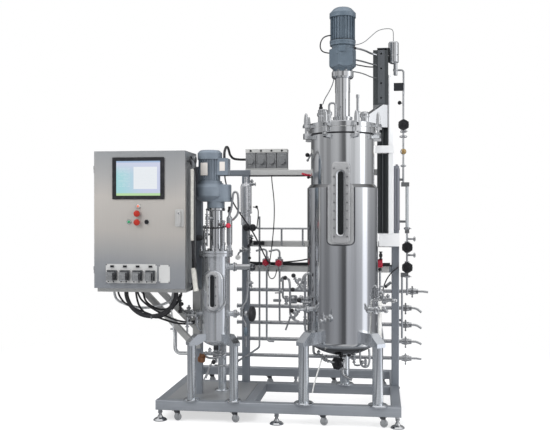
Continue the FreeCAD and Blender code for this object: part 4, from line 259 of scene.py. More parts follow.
def shade(colour: Colour, factor: float, lift: float = 0.0) -> Colour:
    """Gives a colour times a factor, lifted a little and never above white."""
    return tuple(min(1.0, part * factor + lift) for part in colour)


class Finish:
    """A material round one principled shader."""

    name: str

    def inputs(self, n: Nodes) -> dict:
        """Adds the textures and gives the shader's inputs."""
        raise NotImplementedError

    def make(self) -> Any:
        """Builds the material.

        Returns:
            The material.
        """
        material = bpy.data.materials.new(self.name)
        material.use_nodes = True
        n = Nodes(material.node_tree)
        shader = n.add("ShaderNodeBsdfPrincipled", inputs=self.inputs(n))
        n.add("ShaderNodeOutputMaterial", inputs={"Surface": shader})
        return material


class Grain(Enum):
    """Which way the polishing or brushing runs, as a stretch of the noise."""

    UP = (1.0, 1.0, 0.015)
    ACROSS = (0.02, 1.0, 1.0)
    NONE = (1.0, 1.0, 1.0)


@dataclass(frozen=True)
class Steel(Finish):
    """A stainless steel finish; it can have painted shade below a height and a painted shade band, in
    metres.
    """

    name: str
    colour: Colour
    rough: float
    grain: Grain
    grain_scale: float = 300.0
    streak: float = 0.12
    metallic: float = 1.0
    depth: float = FINE_RELIEF
    cloud_scale: float = 3.0
    # The painted shade below a height and the painted shade band, with how dark they are and how soft
    # their edge is.
    painted_shade_below: float = -1.0
    painted_shade_share: float = 0.12
    painted_shade_fade: float = 0.02
    painted_shade_band: Span = (0.0, 0.0)
    painted_band_share: float = 0.3

    def inputs(self, n: Nodes) -> dict:
        """Lays fine lines over slow clouds, with painted shade below a height and in a band.

        Args:
            n: The material's nodes.

        Returns:
            The shader's inputs.
        """
        lines = n.noise(self.grain_scale, self.grain.value, 4.0)
        drawn = self.grain.value if self.grain is Grain.UP else Grain.NONE.value
        clouds = n.noise(self.cloud_scale, drawn, 2.0)
        streaks = (lines * 0.5 + clouds * 0.5).ramp(0.3, 0.7)
        colour = n.mix(streaks, shade(self.colour, 1 - self.streak), self.colour)
        _, _, z = n.place()
        # Painted shade: darker below a height, for a vessel's dished bottom in shadow.
        if self.painted_shade_below > 0:
            clear = z.ramp(self.painted_shade_below - self.painted_shade_fade, self.painted_shade_below)
            colour = n.mix(clear, shade(self.colour, self.painted_shade_share), colour)
        # Painted shade: a darker band by height, for a sloping shoulder that looks dark.
        if self.painted_shade_band[1] > 0:
            painted_band_tone = shade(self.colour, self.painted_band_share)
            colour = n.mix(z.within(*self.painted_shade_band), colour, painted_band_tone)
        return {"Base Color": colour, "Metallic": self.metallic,
                "Roughness": (self.rough * 0.75 + lines * self.rough * 0.5).clamped(),
                "Normal": n.bump(lines, 0.25, self.depth)}


@dataclass(frozen=True)
class SheetDoor(Finish):
    """Brushed sheet with a painted reflection: its tone drifts from cool at the ends to warm in the
    middle.
    """

    name: str = "door_sheet"
    painted_reflection_tones: tuple[tuple[float, Colour], ...] = (
        (0.0, (0.28, 0.295, 0.32)), (0.18, (0.33, 0.34, 0.355)), (0.42, (0.51, 0.485, 0.455)),
        (0.66, (0.56, 0.53, 0.495)), (0.82, (0.44, 0.435, 0.43)), (1.0, (0.335, 0.345, 0.355)))
    stroke_scale: float = 300.0
    drift_scale: float = 2.4
    metallic: float = 0.5

    def inputs(self, n: Nodes) -> dict:
        """Drifts the painted reflection with height and lays faint upright strokes over it.

        Args:
            n: The material's nodes.

        Returns:
            The shader's inputs.
        """
        low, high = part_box("cabinet_door")
        _, _, z = n.place()
        strokes = n.noise(self.stroke_scale, Grain.UP.value, 4.0)
        drift = n.noise(self.drift_scale, (1, 1, 0.4), 2.0) * 0.16 - 0.08
        height = ((z - low[2]) / (high[2] - low[2]) + drift).clamped()
        # Painted reflection: the tone follows height on the door, not the sheet's own colour.
        tone = n.add("ShaderNodeValToRGB", {"stops": self.painted_reflection_tones}, {"Fac": height})
        dark = n.mix(0.10, tone, (0.0, 0.0, 0.0))
        return {"Base Color": n.mix(strokes, dark, tone), "Metallic": self.metallic,
                "Roughness": strokes * 0.10 + 0.36, "Normal": n.bump(strokes, 0.2, FINE_RELIEF)}


@dataclass(frozen=True)
class Enamel(Finish):
    """A painted coat with a slight orange peel and a little dust."""

    name: str
    colour: Colour
    rough: float = 0.34
    metallic: float = 0.25
    coat: float = 0.35
    coat_rough: float = 0.25
    peel_scale: float = 260.0
    dust_scale: float = 14.0

    def inputs(self, n: Nodes) -> dict:
        """Lays peel and dust on the colour.

        Args:
            n: The material's nodes.

        Returns:
            The shader's inputs.
        """
        peel = n.noise(self.peel_scale, (1, 1, 1), 2.0)
        dust = n.noise(self.dust_scale, (1, 1, 1), 4.0).ramp(0.35, 0.75)
        pale = shade(self.colour, 1.12, 0.015)
        return {"Base Color": n.mix(dust, self.colour, pale), "Metallic": self.metallic,
                "Roughness": self.rough + peel * 0.1, "Coat Weight": self.coat,
                "Coat Roughness": self.coat_rough, "Normal": n.bump(peel, 0.2, PEEL_RELIEF)}


@dataclass(frozen=True)
class Moulding(Finish):
    """Moulded plastic or rubber with a fine texture and handling marks."""

    name: str
    colour: Colour
    rough: float = 0.45
    texture_scale: float = 900.0
    depth: float = MOULD_RELIEF
    marks_scale: float = 40.0

    def inputs(self, n: Nodes) -> dict:
        """Lays the handling marks on the colour.

        Args:
            n: The material's nodes.

        Returns:
            The shader's inputs.
        """
        texture = n.noise(self.texture_scale, (1, 1, 1), 2.0)
        marks = n.noise(self.marks_scale, (1, 1, 1), 4.0).ramp(0.4, 0.8)
        pale = shade(self.colour, 1.25, 0.01)
        return {"Base Color": n.mix(marks, self.colour, pale),
                "Roughness": self.rough - 0.08 + marks * 0.16,
                "Normal": n.bump(texture, 0.3, self.depth)}


@dataclass(frozen=True)
class Zone:
    """A box inside one node that has a finish of its own; spans in the skid's millimetres."""

    colour: Colour
    rough: float
    metallic: float = 0.0
    x: Optional[Span] = None
    y: Optional[Span] = None
    z: Optional[Span] = None


@dataclass(frozen=True)
class Zoned(Finish):
    """A finish that changes from zone to zone of one node."""

    name: str
    colour: Colour
    rough: float
    metallic: float
    zones: tuple[Zone, ...]
    grain_scale: float = 420.0

    def inputs(self, n: Nodes) -> dict:
        """Lays each zone over the one before.

        Args:
            n: The material's nodes.

        Returns:
            The shader's inputs.
        """
        lines = n.noise(self.grain_scale)
        colour = n.mix(lines, shade(self.colour, 0.9), self.colour)
        rough: Any = lines * 0.08 + (self.rough - 0.04)
        metallic: Any = self.metallic
        for zone in self.zones:
            mask = n.inside(zone.x, zone.y, zone.z)
            colour = n.mix(mask, colour, n.mix(lines, shade(zone.colour, 0.85), zone.colour))
            rough = rough + mask * (zone.rough - rough)
            metallic = metallic + mask * (zone.metallic - metallic)
        return {"Base Color": colour, "Roughness": rough, "Metallic": metallic,
                "Normal": n.bump(lines, 0.2, FINE_RELIEF)}


@dataclass(frozen=True)
class TouchScreen(Finish):
    """The lit display: a tinted desktop with one pale window and a status bar.

    Places on the glass are shares of its width and height.
    """

    name: str = "touch_screen"
    window: tuple[float, float, float, float] = (0.395, 0.93, 0.19, 0.83)
    rows: float = 23.0
    icons: tuple[Span, Span] = ((0.05, 0.31), (0.24, 0.82))
    task_bar: float = 0.07
    title_bar: float = 0.955
    glow: float = 0.85

    def inputs(self, n: Nodes) -> dict:
        """Lays bands and rows across the glass.

        Args:
            n: The material's nodes.

        Returns:
            The shader's inputs.
        """
        low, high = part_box("hmi_screen")
        x, _, z = n.place()
        u = (x - low[0]) / (high[0] - low[0])
        v = (z - low[2]) / (high[2] - low[2])
        left, right, bottom, top = self.window
        colour = n.mix(u.ramp(0.0, 0.75), (0.40, 0.74, 0.77), (0.62, 0.67, 0.87))
        colour = n.mix(v.ramp(0.55, 1.0), colour, (0.68, 0.71, 0.87))
        row = n.math("FRACT", v * self.rows)
        icons = (row < 0.38) * u.within(*self.icons[0]) * v.within(*self.icons[1])
        words = n.noise(95.0, (1, 1, 4.0), 1.0) > 0.47
        colour = n.mix(icons * words * 0.35, colour, (0.93, 0.98, 1.0))
        colour = n.mix(u.within(left, right) * v.within(bottom, top), colour, (0.90, 0.94, 0.97))
        inner = u.within(left + 0.03, right - 0.03) * v.within(bottom + 0.05, top - 0.08)
        colour = n.mix(inner * (row < 0.30) * words * 0.10, colour, (0.45, 0.55, 0.65))
        colour = n.mix(v < self.task_bar, colour, (0.52, 0.78, 0.40))
        colour = n.mix(v > self.title_bar, colour, (0.40, 0.55, 0.78))
        return {"Base Color": (0.02, 0.02, 0.025), "Roughness": 0.12, "Emission Color": colour,
                "Emission Strength": self.glow, "Coat Weight": 0.3}


@dataclass(frozen=True)
class ClearGlass(Finish):
    """Thick dark sight glass; the meter's tube beside the lift is of clear glass."""

    name: str
    tint: Colour
    alpha: float
    meter: Span = (740.0, 900.0)
    meter_tint: Colour = (0.55, 0.58, 0.60)
    refraction: float = 1.5

    def inputs(self, n: Nodes) -> dict:
        """Lays a faint film inside the glass.

        Args:
            n: The material's nodes.

        Returns:
            The shader's inputs.
        """
        film = n.noise(60.0, (1, 1, 0.1))
        tube = n.inside(self.meter)
        return {"Base Color": n.mix(tube, self.tint, self.meter_tint), "IOR": self.refraction,
                "Roughness": film * 0.08 + 0.03, "Coat Weight": 0.4,
                "Alpha": film * 0.08 + self.alpha - tube * 0.35}


POLISHED = Steel("polished_steel", (0.80, 0.81, 0.82), 0.115, Grain.UP, 260.0, 0.10)
# Painted shade: SHELL and SEED_SHELL darken below 0.466 m, the shadowed dished bottom.
SHELL = replace(POLISHED, name="shell_steel", painted_shade_below=0.466)
# Painted shade: JACKET also darkens a band at its sloping shoulder.
JACKET = replace(SHELL, name="jacket_steel", painted_shade_band=(1.4402, 1.4622))
SEED_SHELL = replace(SHELL, name="seed_shell", colour=(0.68, 0.70, 0.725), rough=0.15, streak=0.14,
                     metallic=0.80)
LEG_STEEL = Steel("leg_steel", (0.74, 0.77, 0.80), 0.14, Grain.UP, 240.0, 0.08, 0.95)
PIPE = Steel("pipe_steel", (0.70, 0.71, 0.72), 0.22, Grain.NONE, 180.0)
# A dark weld that is also painted contact shadow along the main window pad's lower edge.
WELD_AND_CONTACT_SHADOW = replace(PIPE, name="weld_and_contact_shadow", colour=(0.16, 0.165, 0.175), rough=0.30)
COPPER = Steel("copper_fitting", (0.55, 0.27, 0.15), 0.34, Grain.NONE, 200.0, 0.15)
PALE_PLATE = Steel("pale_plate", (0.74, 0.70, 0.66), 0.40, Grain.NONE, 200.0, 0.08, 0.2)
SATIN = Steel("satin_fittings", (0.66, 0.655, 0.64), 0.32, Grain.NONE, 300.0, 0.08, 0.6)
WINDOW_STEEL = Steel("window_steel", (0.74, 0.745, 0.75), 0.24, Grain.NONE, 120.0, 0.22, 0.72,
                     4 * FINE_RELIEF)
FRAME_STEEL = Steel("frame_steel", (0.40, 0.425, 0.46), 0.36, Grain.ACROSS, 300.0, 0.16, 0.6)
RAIL_STEEL = Steel("rail_steel", (0.60, 0.60, 0.585), 0.34, Grain.ACROSS, metallic=0.6)
TRAY_STEEL = Steel("tray_steel", (0.42, 0.43, 0.44), 0.34, Grain.ACROSS, metallic=0.5)
DOOR_SHEET = SheetDoor()
MOTOR_PAINT = Enamel("motor_enamel", (0.098, 0.130, 0.162))
SEED_PAINT = Enamel("seed_motor_enamel", (0.165, 0.198, 0.235))
BLACK = Moulding("black_moulding", (0.012, 0.012, 0.014), 0.40)
RED = Moulding("red_moulding", (0.42, 0.020, 0.045), 0.34)
STOP_RED = Moulding("stop_red", (0.30, 0.016, 0.008), 0.36)
GREEN = Moulding("green_moulding", (0.02, 0.22, 0.09), 0.36)
GREY = Moulding("grey_moulding", (0.16, 0.165, 0.17), 0.42)
RACK_GREY = Moulding("rack_grey", (0.20, 0.205, 0.21), 0.50, 260.0, 0.0006)
CABLE = Moulding("cable_sheath", (0.016, 0.016, 0.018), 0.48)
LEAD = Moulding("grey_lead", (0.10, 0.105, 0.11), 0.44)
SILICONE = Moulding("silicone", (0.72, 0.72, 0.70), 0.50)
CREAM = Moulding("cream_trunking", (0.52, 0.51, 0.47))
HOSE = Moulding("pale_hose", (0.42, 0.43, 0.44), 0.35)
LAMP_LENS = Moulding("lamp_lens", (0.66, 0.17, 0.10), 0.26)
DARK_GLASS = ClearGlass("sight_glass", (0.012, 0.014, 0.015), 0.90)
PUMP_FRONT, LIFT_WIDTH = (-800, -685.3), (600, 677)
PUMP_STATION = Zoned("pump_station", (0.62, 0.62, 0.61), 0.34, 0.3, (
    Zone((0.055, 0.058, 0.062), 0.42, y=PUMP_FRONT, z=(800, 945)),
    Zone((0.012, 0.012, 0.014), 0.40, y=PUMP_FRONT, z=(945, 1000))))
RACK = Zoned("pump_rack", (0.20, 0.205, 0.21), 0.50, 0.1, (
    Zone((0.56, 0.56, 0.55), 0.34, 0.3, z=(1500, 1590.2)),
    Zone((0.62, 0.62, 0.60), 0.34, 0.3, z=(1697.8, 1800))), 150.0)
# The channel's front is dark, and its sides are kept darker than the middle strip as painted shade.
CARRIAGE = Zoned("lift_carriage_finish", (0.74, 0.75, 0.76), 0.20, 1.0, (
    Zone((0.11, 0.12, 0.125), 0.36, 0.6, x=(577, 700), z=(1999, 2400)),
    Zone((0.22, 0.235, 0.25), 0.32, 0.7, x=(607, 653), z=(1999, 2400))))
# Partly painted light: the near-white base stands for the column's brightly lit side face; the dark
# zones are its front.
LIFT = Zoned("lift_column_finish", (0.97, 0.975, 0.98), 0.36, 0.0, tuple(
    Zone((0.16, 0.17, 0.175), 0.30, 0.8, x=LIFT_WIDTH, z=levels)
    for levels in ((1150, 1681), (1731, 2400))))
POST_FINISH = Zoned("post_finish", (0.42, 0.455, 0.50), 0.36, 0.8, tuple(
    Zone((0.74, 0.74, 0.725), 0.34, 0.5, x=(-255, 684), z=levels)
    for levels in ((1540, 1581), (1056, 1097), (886, 927))), 300.0)
CASTERS = Zoned("caster_finish", (0.40, 0.41, 0.42), 0.30, 0.5, (
    Zone((0.07, 0.072, 0.078), 0.45, 0.3, z=(50.5, 70)),), 200.0)
CASE = Zoned("case_finish", (0.46, 0.47, 0.475), 0.38, 0.75, (
    Zone((0.10, 0.105, 0.11), 0.42, 0.4, x=(-519.6, -500)),
    Zone((0.72, 0.72, 0.70), 0.36, 0.8, z=(790, 825.8))))
SIDE_PIPES = Zoned("side_pipe_finish", PIPE.colour, 0.22, 1.0, (
    Zone((0.30, 0.31, 0.345), 0.34, 0.8, x=(705, 756), z=(1150, 1610)),
    Zone((0.02, 0.022, 0.026), 0.38, x=(714, 776), z=(2095, 2145)),
    Zone((0.012, 0.012, 0.014), 0.38, x=(736, 766), z=(2003, 2033)),
    Zone((0.56, 0.38, 0.17), 0.34, 0.8, x=(766, 802), z=(1678, 1712))))
PROCESS_PIPES = Zoned("process_pipe_finish", PIPE.colour, 0.22, 1.0, (
    Zone((0.94, 0.95, 0.97), 0.24, 0.82, x=(-325, -232), z=(1196, 1535)),))
VESSEL_VALVES = Zoned("vessel_valve_finish", PIPE.colour, 0.22, 1.0, (
    Zone((0.02, 0.022, 0.026), 0.40, x=(-176, -147), z=(920, 975)),
    Zone((0.62, 0.63, 0.64), 0.24, 1.0, x=(-43, 36))))


# ---- Dressing the CAD nodes ------------------------------------------------
def numbered(name: str, count: int) -> tuple[str, ...]:
    """Gives the names of a row of nodes, numbered from 1."""
    return tuple(f"{name}_{number}" for number in range(1, count + 1))


NODE_FINISHES: dict[Finish, tuple[str, ...]] = {
    SHELL: ("main_vessel",), JACKET: ("main_jacket",), SEED_SHELL: ("seed_vessel", "seed_lid"),
    POLISHED: ("main_lid", "main_clamps", "seed_clamps", "main_pedestal", "seed_pedestal",
               "levelling_feet"),
    WINDOW_STEEL: ("main_sight_frame", "seed_sight_frame"),
    PIPE: ("utility_headers", "outlet_valves", "lid_fittings", "main_agitator", "seed_agitator",
           *numbered("outlet_lever", 5)),
    FRAME_STEEL: ("base_frame",), TRAY_STEEL: ("seed_tray",), POST_FINISH: ("support_frame",),
    RAIL_STEEL: ("cabinet_arms",), LEG_STEEL: ("main_legs", "seed_legs"),
    DOOR_SHEET: ("cabinet_door",), SATIN: ("panel_fittings", "door_handle"),
    MOTOR_PAINT: ("main_gearbox", "main_motor"), SEED_PAINT: ("seed_gearbox", "seed_motor"),
    BLACK: ("hmi_bezel", "selector_switch", "drain_wheel", *numbered("side_wheel", 3)),
    RED: numbered("red_wheel", 2), STOP_RED: ("stop_button_upper", "stop_button_lower"),
    GREEN: ("start_button",), CABLE: ("cabinet_cables", "drive_cables"),
    SILICONE: ("lid_gaskets",), DARK_GLASS: ("sight_glasses",), TouchScreen(): ("hmi_screen",),
    PUMP_STATION: ("door_pumps",), RACK: ("rack_pumps",), CARRIAGE: ("lift_carriage",),
    LIFT: ("lift_column",), CASTERS: ("casters",), CASE: ("cabinet_case",),
    SIDE_PIPES: ("side_pipework",), PROCESS_PIPES: ("process_pipework",),
    VESSEL_VALVES: ("vessel_valves",),
}


class Finishes:
    """Makes each finish once and dresses what asks for it."""

    def __init__(self) -> None:
        """Starts with none made."""
        self.made: dict[str, Any] = {}

    def material(self, finish: Finish) -> Any:
        """Gives a finish's material, made on first use.

        Args:
            finish: The finish.

        Returns:
            Its material.
        """
        if finish.name not in self.made:
            self.made[finish.name] = finish.make()
        return self.made[finish.name]

    def dress(self, piece: Any, finish: Finish) -> None:
        """Puts one finish on all of a piece's slots.

        Args:
            piece: The mesh object.
            finish: What it is dressed in.
        """
        slots = piece.data.materials
        if not slots:
            slots.append(self.material(finish))
        for index in range(len(slots)):
            slots[index] = self.material(finish)

    def dress_nodes(self) -> None:
        """Dresses each CAD node."""
        for finish, names in NODE_FINISHES.items():
            for name in names:
                self.dress(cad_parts[name], finish)
        log.info("dressed %d nodes", sum(len(names) for names in NODE_FINISHES.values()))


# ---- Modelling tools --------------------------------------------------------
Chooser = Callable[[Any], bool]
# The least cosines between a face and the axis that it looks along.
ALIGNED, SQUARE_ON = 0.9, 0.99
SAME_HEIGHT = 0.01 * MM
SHARP_DEG = 40.0
BALL_SIDES = 20
# How finely a tube's round, its length and its bends are drawn.
TUBE_SIDES, TUBE_STEPS, TUBE_ORDER = 3, 8, 3


def deselect_all() -> None:
    """Leaves edit mode and clears the selection."""
    if bpy.context.object is not None and bpy.context.object.mode != "OBJECT":
        bpy.ops.object.mode_set(mode="OBJECT")
    bpy.ops.object.select_all(action="DESELECT")


def work_on(*pieces: Any) -> None:
    """Selects only these pieces, the first one active.

    Args:
        pieces: The objects.
    """
    deselect_all()
    for piece in pieces:
        piece.select_set(True)
    bpy.context.view_layer.objects.active = pieces[0]


def facing(axis: Sequence[float], both: bool = False, limit: float = ALIGNED) -> Chooser:
    """Chooses the faces that look along an axis.

    Args:
        axis: The direction.
        both: Whether the faces that look the other way count too.
        limit: The least cosine of the angle between face and axis.

    Returns:
        The chooser.
    """
    def looks(face: Any) -> bool:
        """Compares the face's direction with the axis."""
        share = face.normal.dot(Vector(axis))
        return (abs(share) if both else share) > limit
    return looks


def upright_edge(tall: float) -> Chooser:
    """Chooses the edges that rise more than so many metres."""
    return lambda edge: abs(edge.verts[0].co.z - edge.verts[1].co.z) > tall


def moved(place: Vector, axis: Sequence[float] = UP, spin_deg: float = 0.0) -> Matrix:
    """Gives the matrix that stands a shape on a place, along an axis, turned about it."""
    turn = Vector(axis).to_track_quat("Z", "Y").to_matrix().to_4x4()
    return Matrix.Translation(place) @ turn @ Matrix.Rotation(math.radians(spin_deg), 4, "Z")


def about(axis: str, angle_deg: float) -> Matrix:
    """Gives a turn about one axis."""
    return Matrix.Rotation(math.radians(angle_deg), 4, axis)


class Sculpt:
    """One mesh under work: a primitive, then edit-mode steps on chosen faces or edges.

    Lengths are in millimetres.
    """

    def __init__(self, name: str) -> None:
        """Takes the active object as the piece, with its place and size in its mesh.

        Args:
            name: The piece's name.
        """
        self.piece = bpy.context.active_object
        self.piece.data.transform(self.piece.matrix_basis)
        self.piece.matrix_basis = Matrix.Identity(4)
        self.piece.name = self.piece.data.name = name

    @classmethod
    def cylinder(cls, name: str, radius: float, depth: float, sides: int = 32) -> "Sculpt":
        """A cylinder that stands on the origin.

        Args:
            name: The piece's name.
            radius: Its radius.
            depth: Its height.
            sides: Its number of sides.

        Returns:
            The sculpt.
        """
        deselect_all()
        bpy.ops.mesh.primitive_cylinder_add(vertices=sides, radius=radius * MM, depth=depth * MM,
                                            location=(0, 0, depth * MM / 2))
        return cls(name)

    @classmethod
    def block(cls, name: str, size: Point) -> "Sculpt":
        """A box with its base's middle at the origin.

        Args:
            name: The piece's name.
            size: Its size along each axis.

        Returns:
            The sculpt.
        """
        deselect_all()
        bpy.ops.mesh.primitive_cube_add(size=1, location=(0, 0, size[2] * MM / 2),
                                        scale=tuple(side * MM for side in size))
        return cls(name)

    @classmethod
    def ball(cls, name: str, radius: float) -> "Sculpt":
        """A ball round the origin.

        Args:
            name: The piece's name.
            radius: Its radius.

        Returns:
            The sculpt.
        """
        deselect_all()
        bpy.ops.mesh.primitive_uv_sphere_add(segments=BALL_SIDES, ring_count=BALL_SIDES // 2,
                                             radius=radius * MM)
        return cls(name)

    @classmethod
    def ring(cls, name: str, radius: float, section: float, sides: int, around: int) -> "Sculpt":
        """A torus round the origin.

        Args:
            name: The piece's name.
            radius: The ring's radius.
            section: The radius of its round section.
            sides: The sides along the ring.
            around: The sides round the section.

        Returns:
            The sculpt.
        """
        deselect_all()
        bpy.ops.mesh.primitive_torus_add(major_radius=radius * MM, minor_radius=section * MM,
                                         major_segments=sides, minor_segments=around)
        return cls(name)

    def pick(self, faces: Optional[Chooser] = None, edges: Optional[Chooser] = None) -> "Sculpt":
        """Enters edit mode with only the chosen faces or edges selected.

        Args:
            faces: Says which faces are wanted.
            edges: Says which edges are wanted, where no faces are.

        Returns:
            The sculpt.
        """
        work_on(self.piece)
        bpy.ops.object.mode_set(mode="EDIT")
        bpy.ops.mesh.select_mode(type="FACE" if faces else "EDGE")
        bpy.ops.mesh.select_all(action="DESELECT")
        mesh = bmesh.from_edit_mesh(self.piece.data)
        mesh.normal_update()
        for item in (mesh.faces if faces else mesh.edges):
            if (faces or edges)(item):
                item.select_set(True)
        mesh.select_flush_mode()
        bmesh.update_edit_mesh(self.piece.data)
        return self

    def inset(self, thickness: float, depth: float = 0.0) -> "Sculpt":
        """Insets the selection."""
        bpy.ops.mesh.inset(thickness=thickness * MM, depth=depth * MM)
        return self

    def extrude(self, rise: float) -> "Sculpt":
        """Extrudes the selection up."""
        bpy.ops.mesh.extrude_region_move(TRANSFORM_OT_translate={"value": (0, 0, rise * MM)})
        return self

    def scale(self, factor: float) -> "Sculpt":
        """Scales the selection in plan about its middle."""
        bpy.ops.transform.resize(value=(factor, factor, 1.0))
        return self

    def bevel(self, width: float, segments: int) -> "Sculpt":
        """Bevels the selected edges."""
        bpy.ops.mesh.bevel(offset=width * MM, segments=segments, affect="EDGES")
        return self

    def hollow(self) -> "Sculpt":
        """Opens the form from one selected end to the other.

        Returns:
            The sculpt.
        """
        bpy.ops.mesh.delete(type="FACE")
        self.done().pick(edges=lambda edge: edge.is_boundary)
        bpy.ops.mesh.bridge_edge_loops()
        return self.done()

    def done(self) -> "Sculpt":
        """Leaves edit mode."""
        bpy.ops.object.mode_set(mode="OBJECT")
        return self

    def soften(self, width: float, segments: int = 2) -> "Sculpt":
        """Bevels the sharp edges with a modifier and applies it.

        Args:
            width: The bevel's width.
            segments: Its number of steps.

        Returns:
            The sculpt.
        """
        bevel = self.piece.modifiers.new("bevel", "BEVEL")
        bevel.width, bevel.segments = width * MM, segments
        bevel.limit_method, bevel.angle_limit = "ANGLE", math.radians(SHARP_DEG)
        work_on(self.piece)
        bpy.ops.object.modifier_apply(modifier=bevel.name)
        return self

    def put(self, matrix: Matrix) -> "Sculpt":
        """Moves the mesh."""
        self.piece.data.transform(matrix)
        return self

    def smooth(self, angle_deg: float = 35.0) -> Any:
        """Shades the piece smooth below an angle.

        Args:
            angle_deg: The angle between faces that still counts as smooth.

        Returns:
            The piece.
        """
        work_on(self.piece)
        bpy.ops.object.shade_smooth_by_angle(angle=math.radians(angle_deg))
        return self.piece


def pressed(name: str, size: Point, edge: float, steps: int, rim: float, rise: float,
            axis: Sequence[float] = UP) -> Sculpt:
    """Models a block with softened edges and one raised or sunk face.

    Args:
        name: The piece's name.
        size: Its size along each axis, in millimetres.
        edge: The width of its softened edges.
        steps: Their number of steps.
        rim: How far the face is set in from the edge.
        rise: How far it is raised, or sunk where it's less than 0.
        axis: Where the face looks.

    Returns:
        The sculpt, standing on the origin.
    """
    form = Sculpt.block(name, size).soften(edge, steps)
    return form.pick(faces=facing(axis)).inset(rim, rise).done()


def turned(name: str, profile: Sequence[tuple[float, float]], sides: int = 32) -> Sculpt:
    """Builds a turned form by extruding a disc up through a profile.

    Args:
        name: The piece's name.
        profile: Pairs of radius and height in millimetres, from the base up.
        sides: The number of sides.

    Returns:
        The sculpt, along +Z.
    """
    (radius, base), (next_radius, next_height) = profile[0], profile[1]
    form = Sculpt.cylinder(name, radius, next_height - base, sides)
    form.put(Matrix.Translation((0, 0, base * MM)))
    peak = max(vertex.co.z for vertex in form.piece.data.vertices) - SAME_HEIGHT
    form.pick(faces=lambda face: facing(UP)(face) and face.calc_center_median().z > peak)
    form.scale(next_radius / radius)
    for (last_radius, last_height), (radius, height) in zip(profile[1:], profile[2:]):
        form.extrude(height - last_height).scale(radius / last_radius)
    return form.done()


def join(parts: Sequence[Any], name: str) -> Any:
    """Joins pieces into one with its own mesh.

    Args:
        parts: The pieces.
        name: The joined piece's name.

    Returns:
        The joined piece.
    """
    work_on(*parts)
    if len(parts) > 1:
        bpy.ops.object.join()
    piece = bpy.context.view_layer.objects.active
    piece.name = piece.data.name = name
    return piece


def spread(model: Any, places: Iterable[Matrix]) -> Any:
    """Copies one modelled shape to many places and joins the copies.

    Args:
        model: The shape, at the origin.
        places: Where each copy goes.

    Returns:
        The joined piece, under the model's name.
    """
    copies = []
    for place in places:
        copy = model.copy()
        copy.data = model.data.copy()
        copy.data.transform(place)
        bpy.context.collection.objects.link(copy)
        copies.append(copy)
    name = model.name
    bpy.data.objects.remove(model)
    return join(copies, name)


def bent_tube(name: str, points: Sequence[Vector], radius: float) -> Any:
    """Makes a smooth round tube or cable along a route.

    Args:
        name: The piece's name.
        points: The route, in metres.
        radius: In millimetres.

    Returns:
        The mesh piece.
    """
    curve = bpy.data.curves.new(name, "CURVE")
    curve.dimensions = "3D"
    curve.bevel_depth, curve.bevel_resolution = radius * MM, TUBE_SIDES
    curve.resolution_u, curve.use_fill_caps = TUBE_STEPS, True
    spline = curve.splines.new("NURBS")
    spline.points.add(len(points) - 1)
    for point, place in zip(spline.points, points):
        point.co = (*place, 1.0)
    spline.order_u, spline.use_endpoint_u = TUBE_ORDER, True
    holder = bpy.data.objects.new(name, curve)
    bpy.context.collection.objects.link(holder)
    work_on(holder)
    bpy.ops.object.convert(target="MESH")
    piece = bpy.context.active_object
    piece.name = name
    bpy.ops.object.shade_smooth()
    return piece


# ---- Added pieces -----------------------------------------------------------
@dataclass(frozen=True)
class Route:
    """A cable or tube: its radius and its chosen bends, in the skid's millimetres."""

    name: str
    radius: float
    points: Sequence[Point]
    finish: Finish = CABLE


@dataclass
class SubAssembly:
    """A group of added pieces that share the ways of being fitted.

    The sizes and places that each one holds are in the skid's millimetres.
    """

    finishes: Finishes

    def fit(self, piece: Any, finish: Finish, body: str = "skid") -> None:
        """Dresses a piece and lets it ride.

        Args:
            piece: The finished mesh object.
            finish: What it is dressed in.
            body: The body that it rides on.
        """
        self.finishes.dress(piece, finish)
        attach(piece, body)
        log.info("%s: %d faces on %s", piece.name, len(piece.data.polygons), body)

    def repeat(self, model: Any, places: Iterable[tuple], finish: Finish, body: str = "skid") -> None:
        """Fits copies of a shape.

        Args:
            model: The shape, along +Z from the origin.
            places: For each copy its place in the skid's millimetres, its axis and, where it
                has one, its turn about the axis.
            finish: What they are dressed in.
            body: The body that they ride on.
        """
        stands = [moved(PLAN.at(*place), *stand) for place, *stand in places]
        self.fit(spread(model, stands), finish, body)

    def cables(self, *routes: Route) -> None:
        """Fits cables and tubes.

        Args:
            routes: Their routes.
        """
        for route in routes:
            points = [PLAN.at(*point) for point in route.points]
            self.fit(bent_tube(route.name, points, route.radius), route.finish)


# Shares of a screw's or a nut's own radius, width or height; the socket's lead is in millimetres.
SCREW_CHAMFER, SOCKET_RIM, SOCKET_DEPTH, SOCKET_LEAD = 0.12, 0.42, 0.5, 0.4
NUT_CHAMFER, STUD_RIM, STUD_RISE, STUD_TAPER = 0.1, 0.2, 0.35, 0.85


def cap_screw(name: str, radius: float, height: float) -> Any:
    """Models a cap screw's head with its socket.

    Args:
        name: The piece's name.
        radius: The head's radius in millimetres.
        height: The head's height.

    Returns:
        The mesh object.
    """
    head = Sculpt.cylinder(name, radius, height, 20).soften(height * SCREW_CHAMFER)
    head.pick(faces=facing(UP)).inset(radius * SOCKET_RIM)
    head.inset(SOCKET_LEAD, -height * SOCKET_DEPTH)
    return head.done().smooth()


def hex_nut(name: str, across: float, height: float) -> Any:
    """Models a chamfered hexagon nut round a stud end.

    Args:
        name: The piece's name.
        across: Millimetres across its flats.
        height: Its height.

    Returns:
        The mesh object.
    """
    nut = Sculpt.cylinder(name, across / math.sqrt(3), height, 6).soften(height * NUT_CHAMFER, 1)
    nut.pick(faces=facing(UP)).inset(across * STUD_RIM)
    nut.extrude(height * STUD_RISE).scale(STUD_TAPER)
    return nut.done().smooth(25)


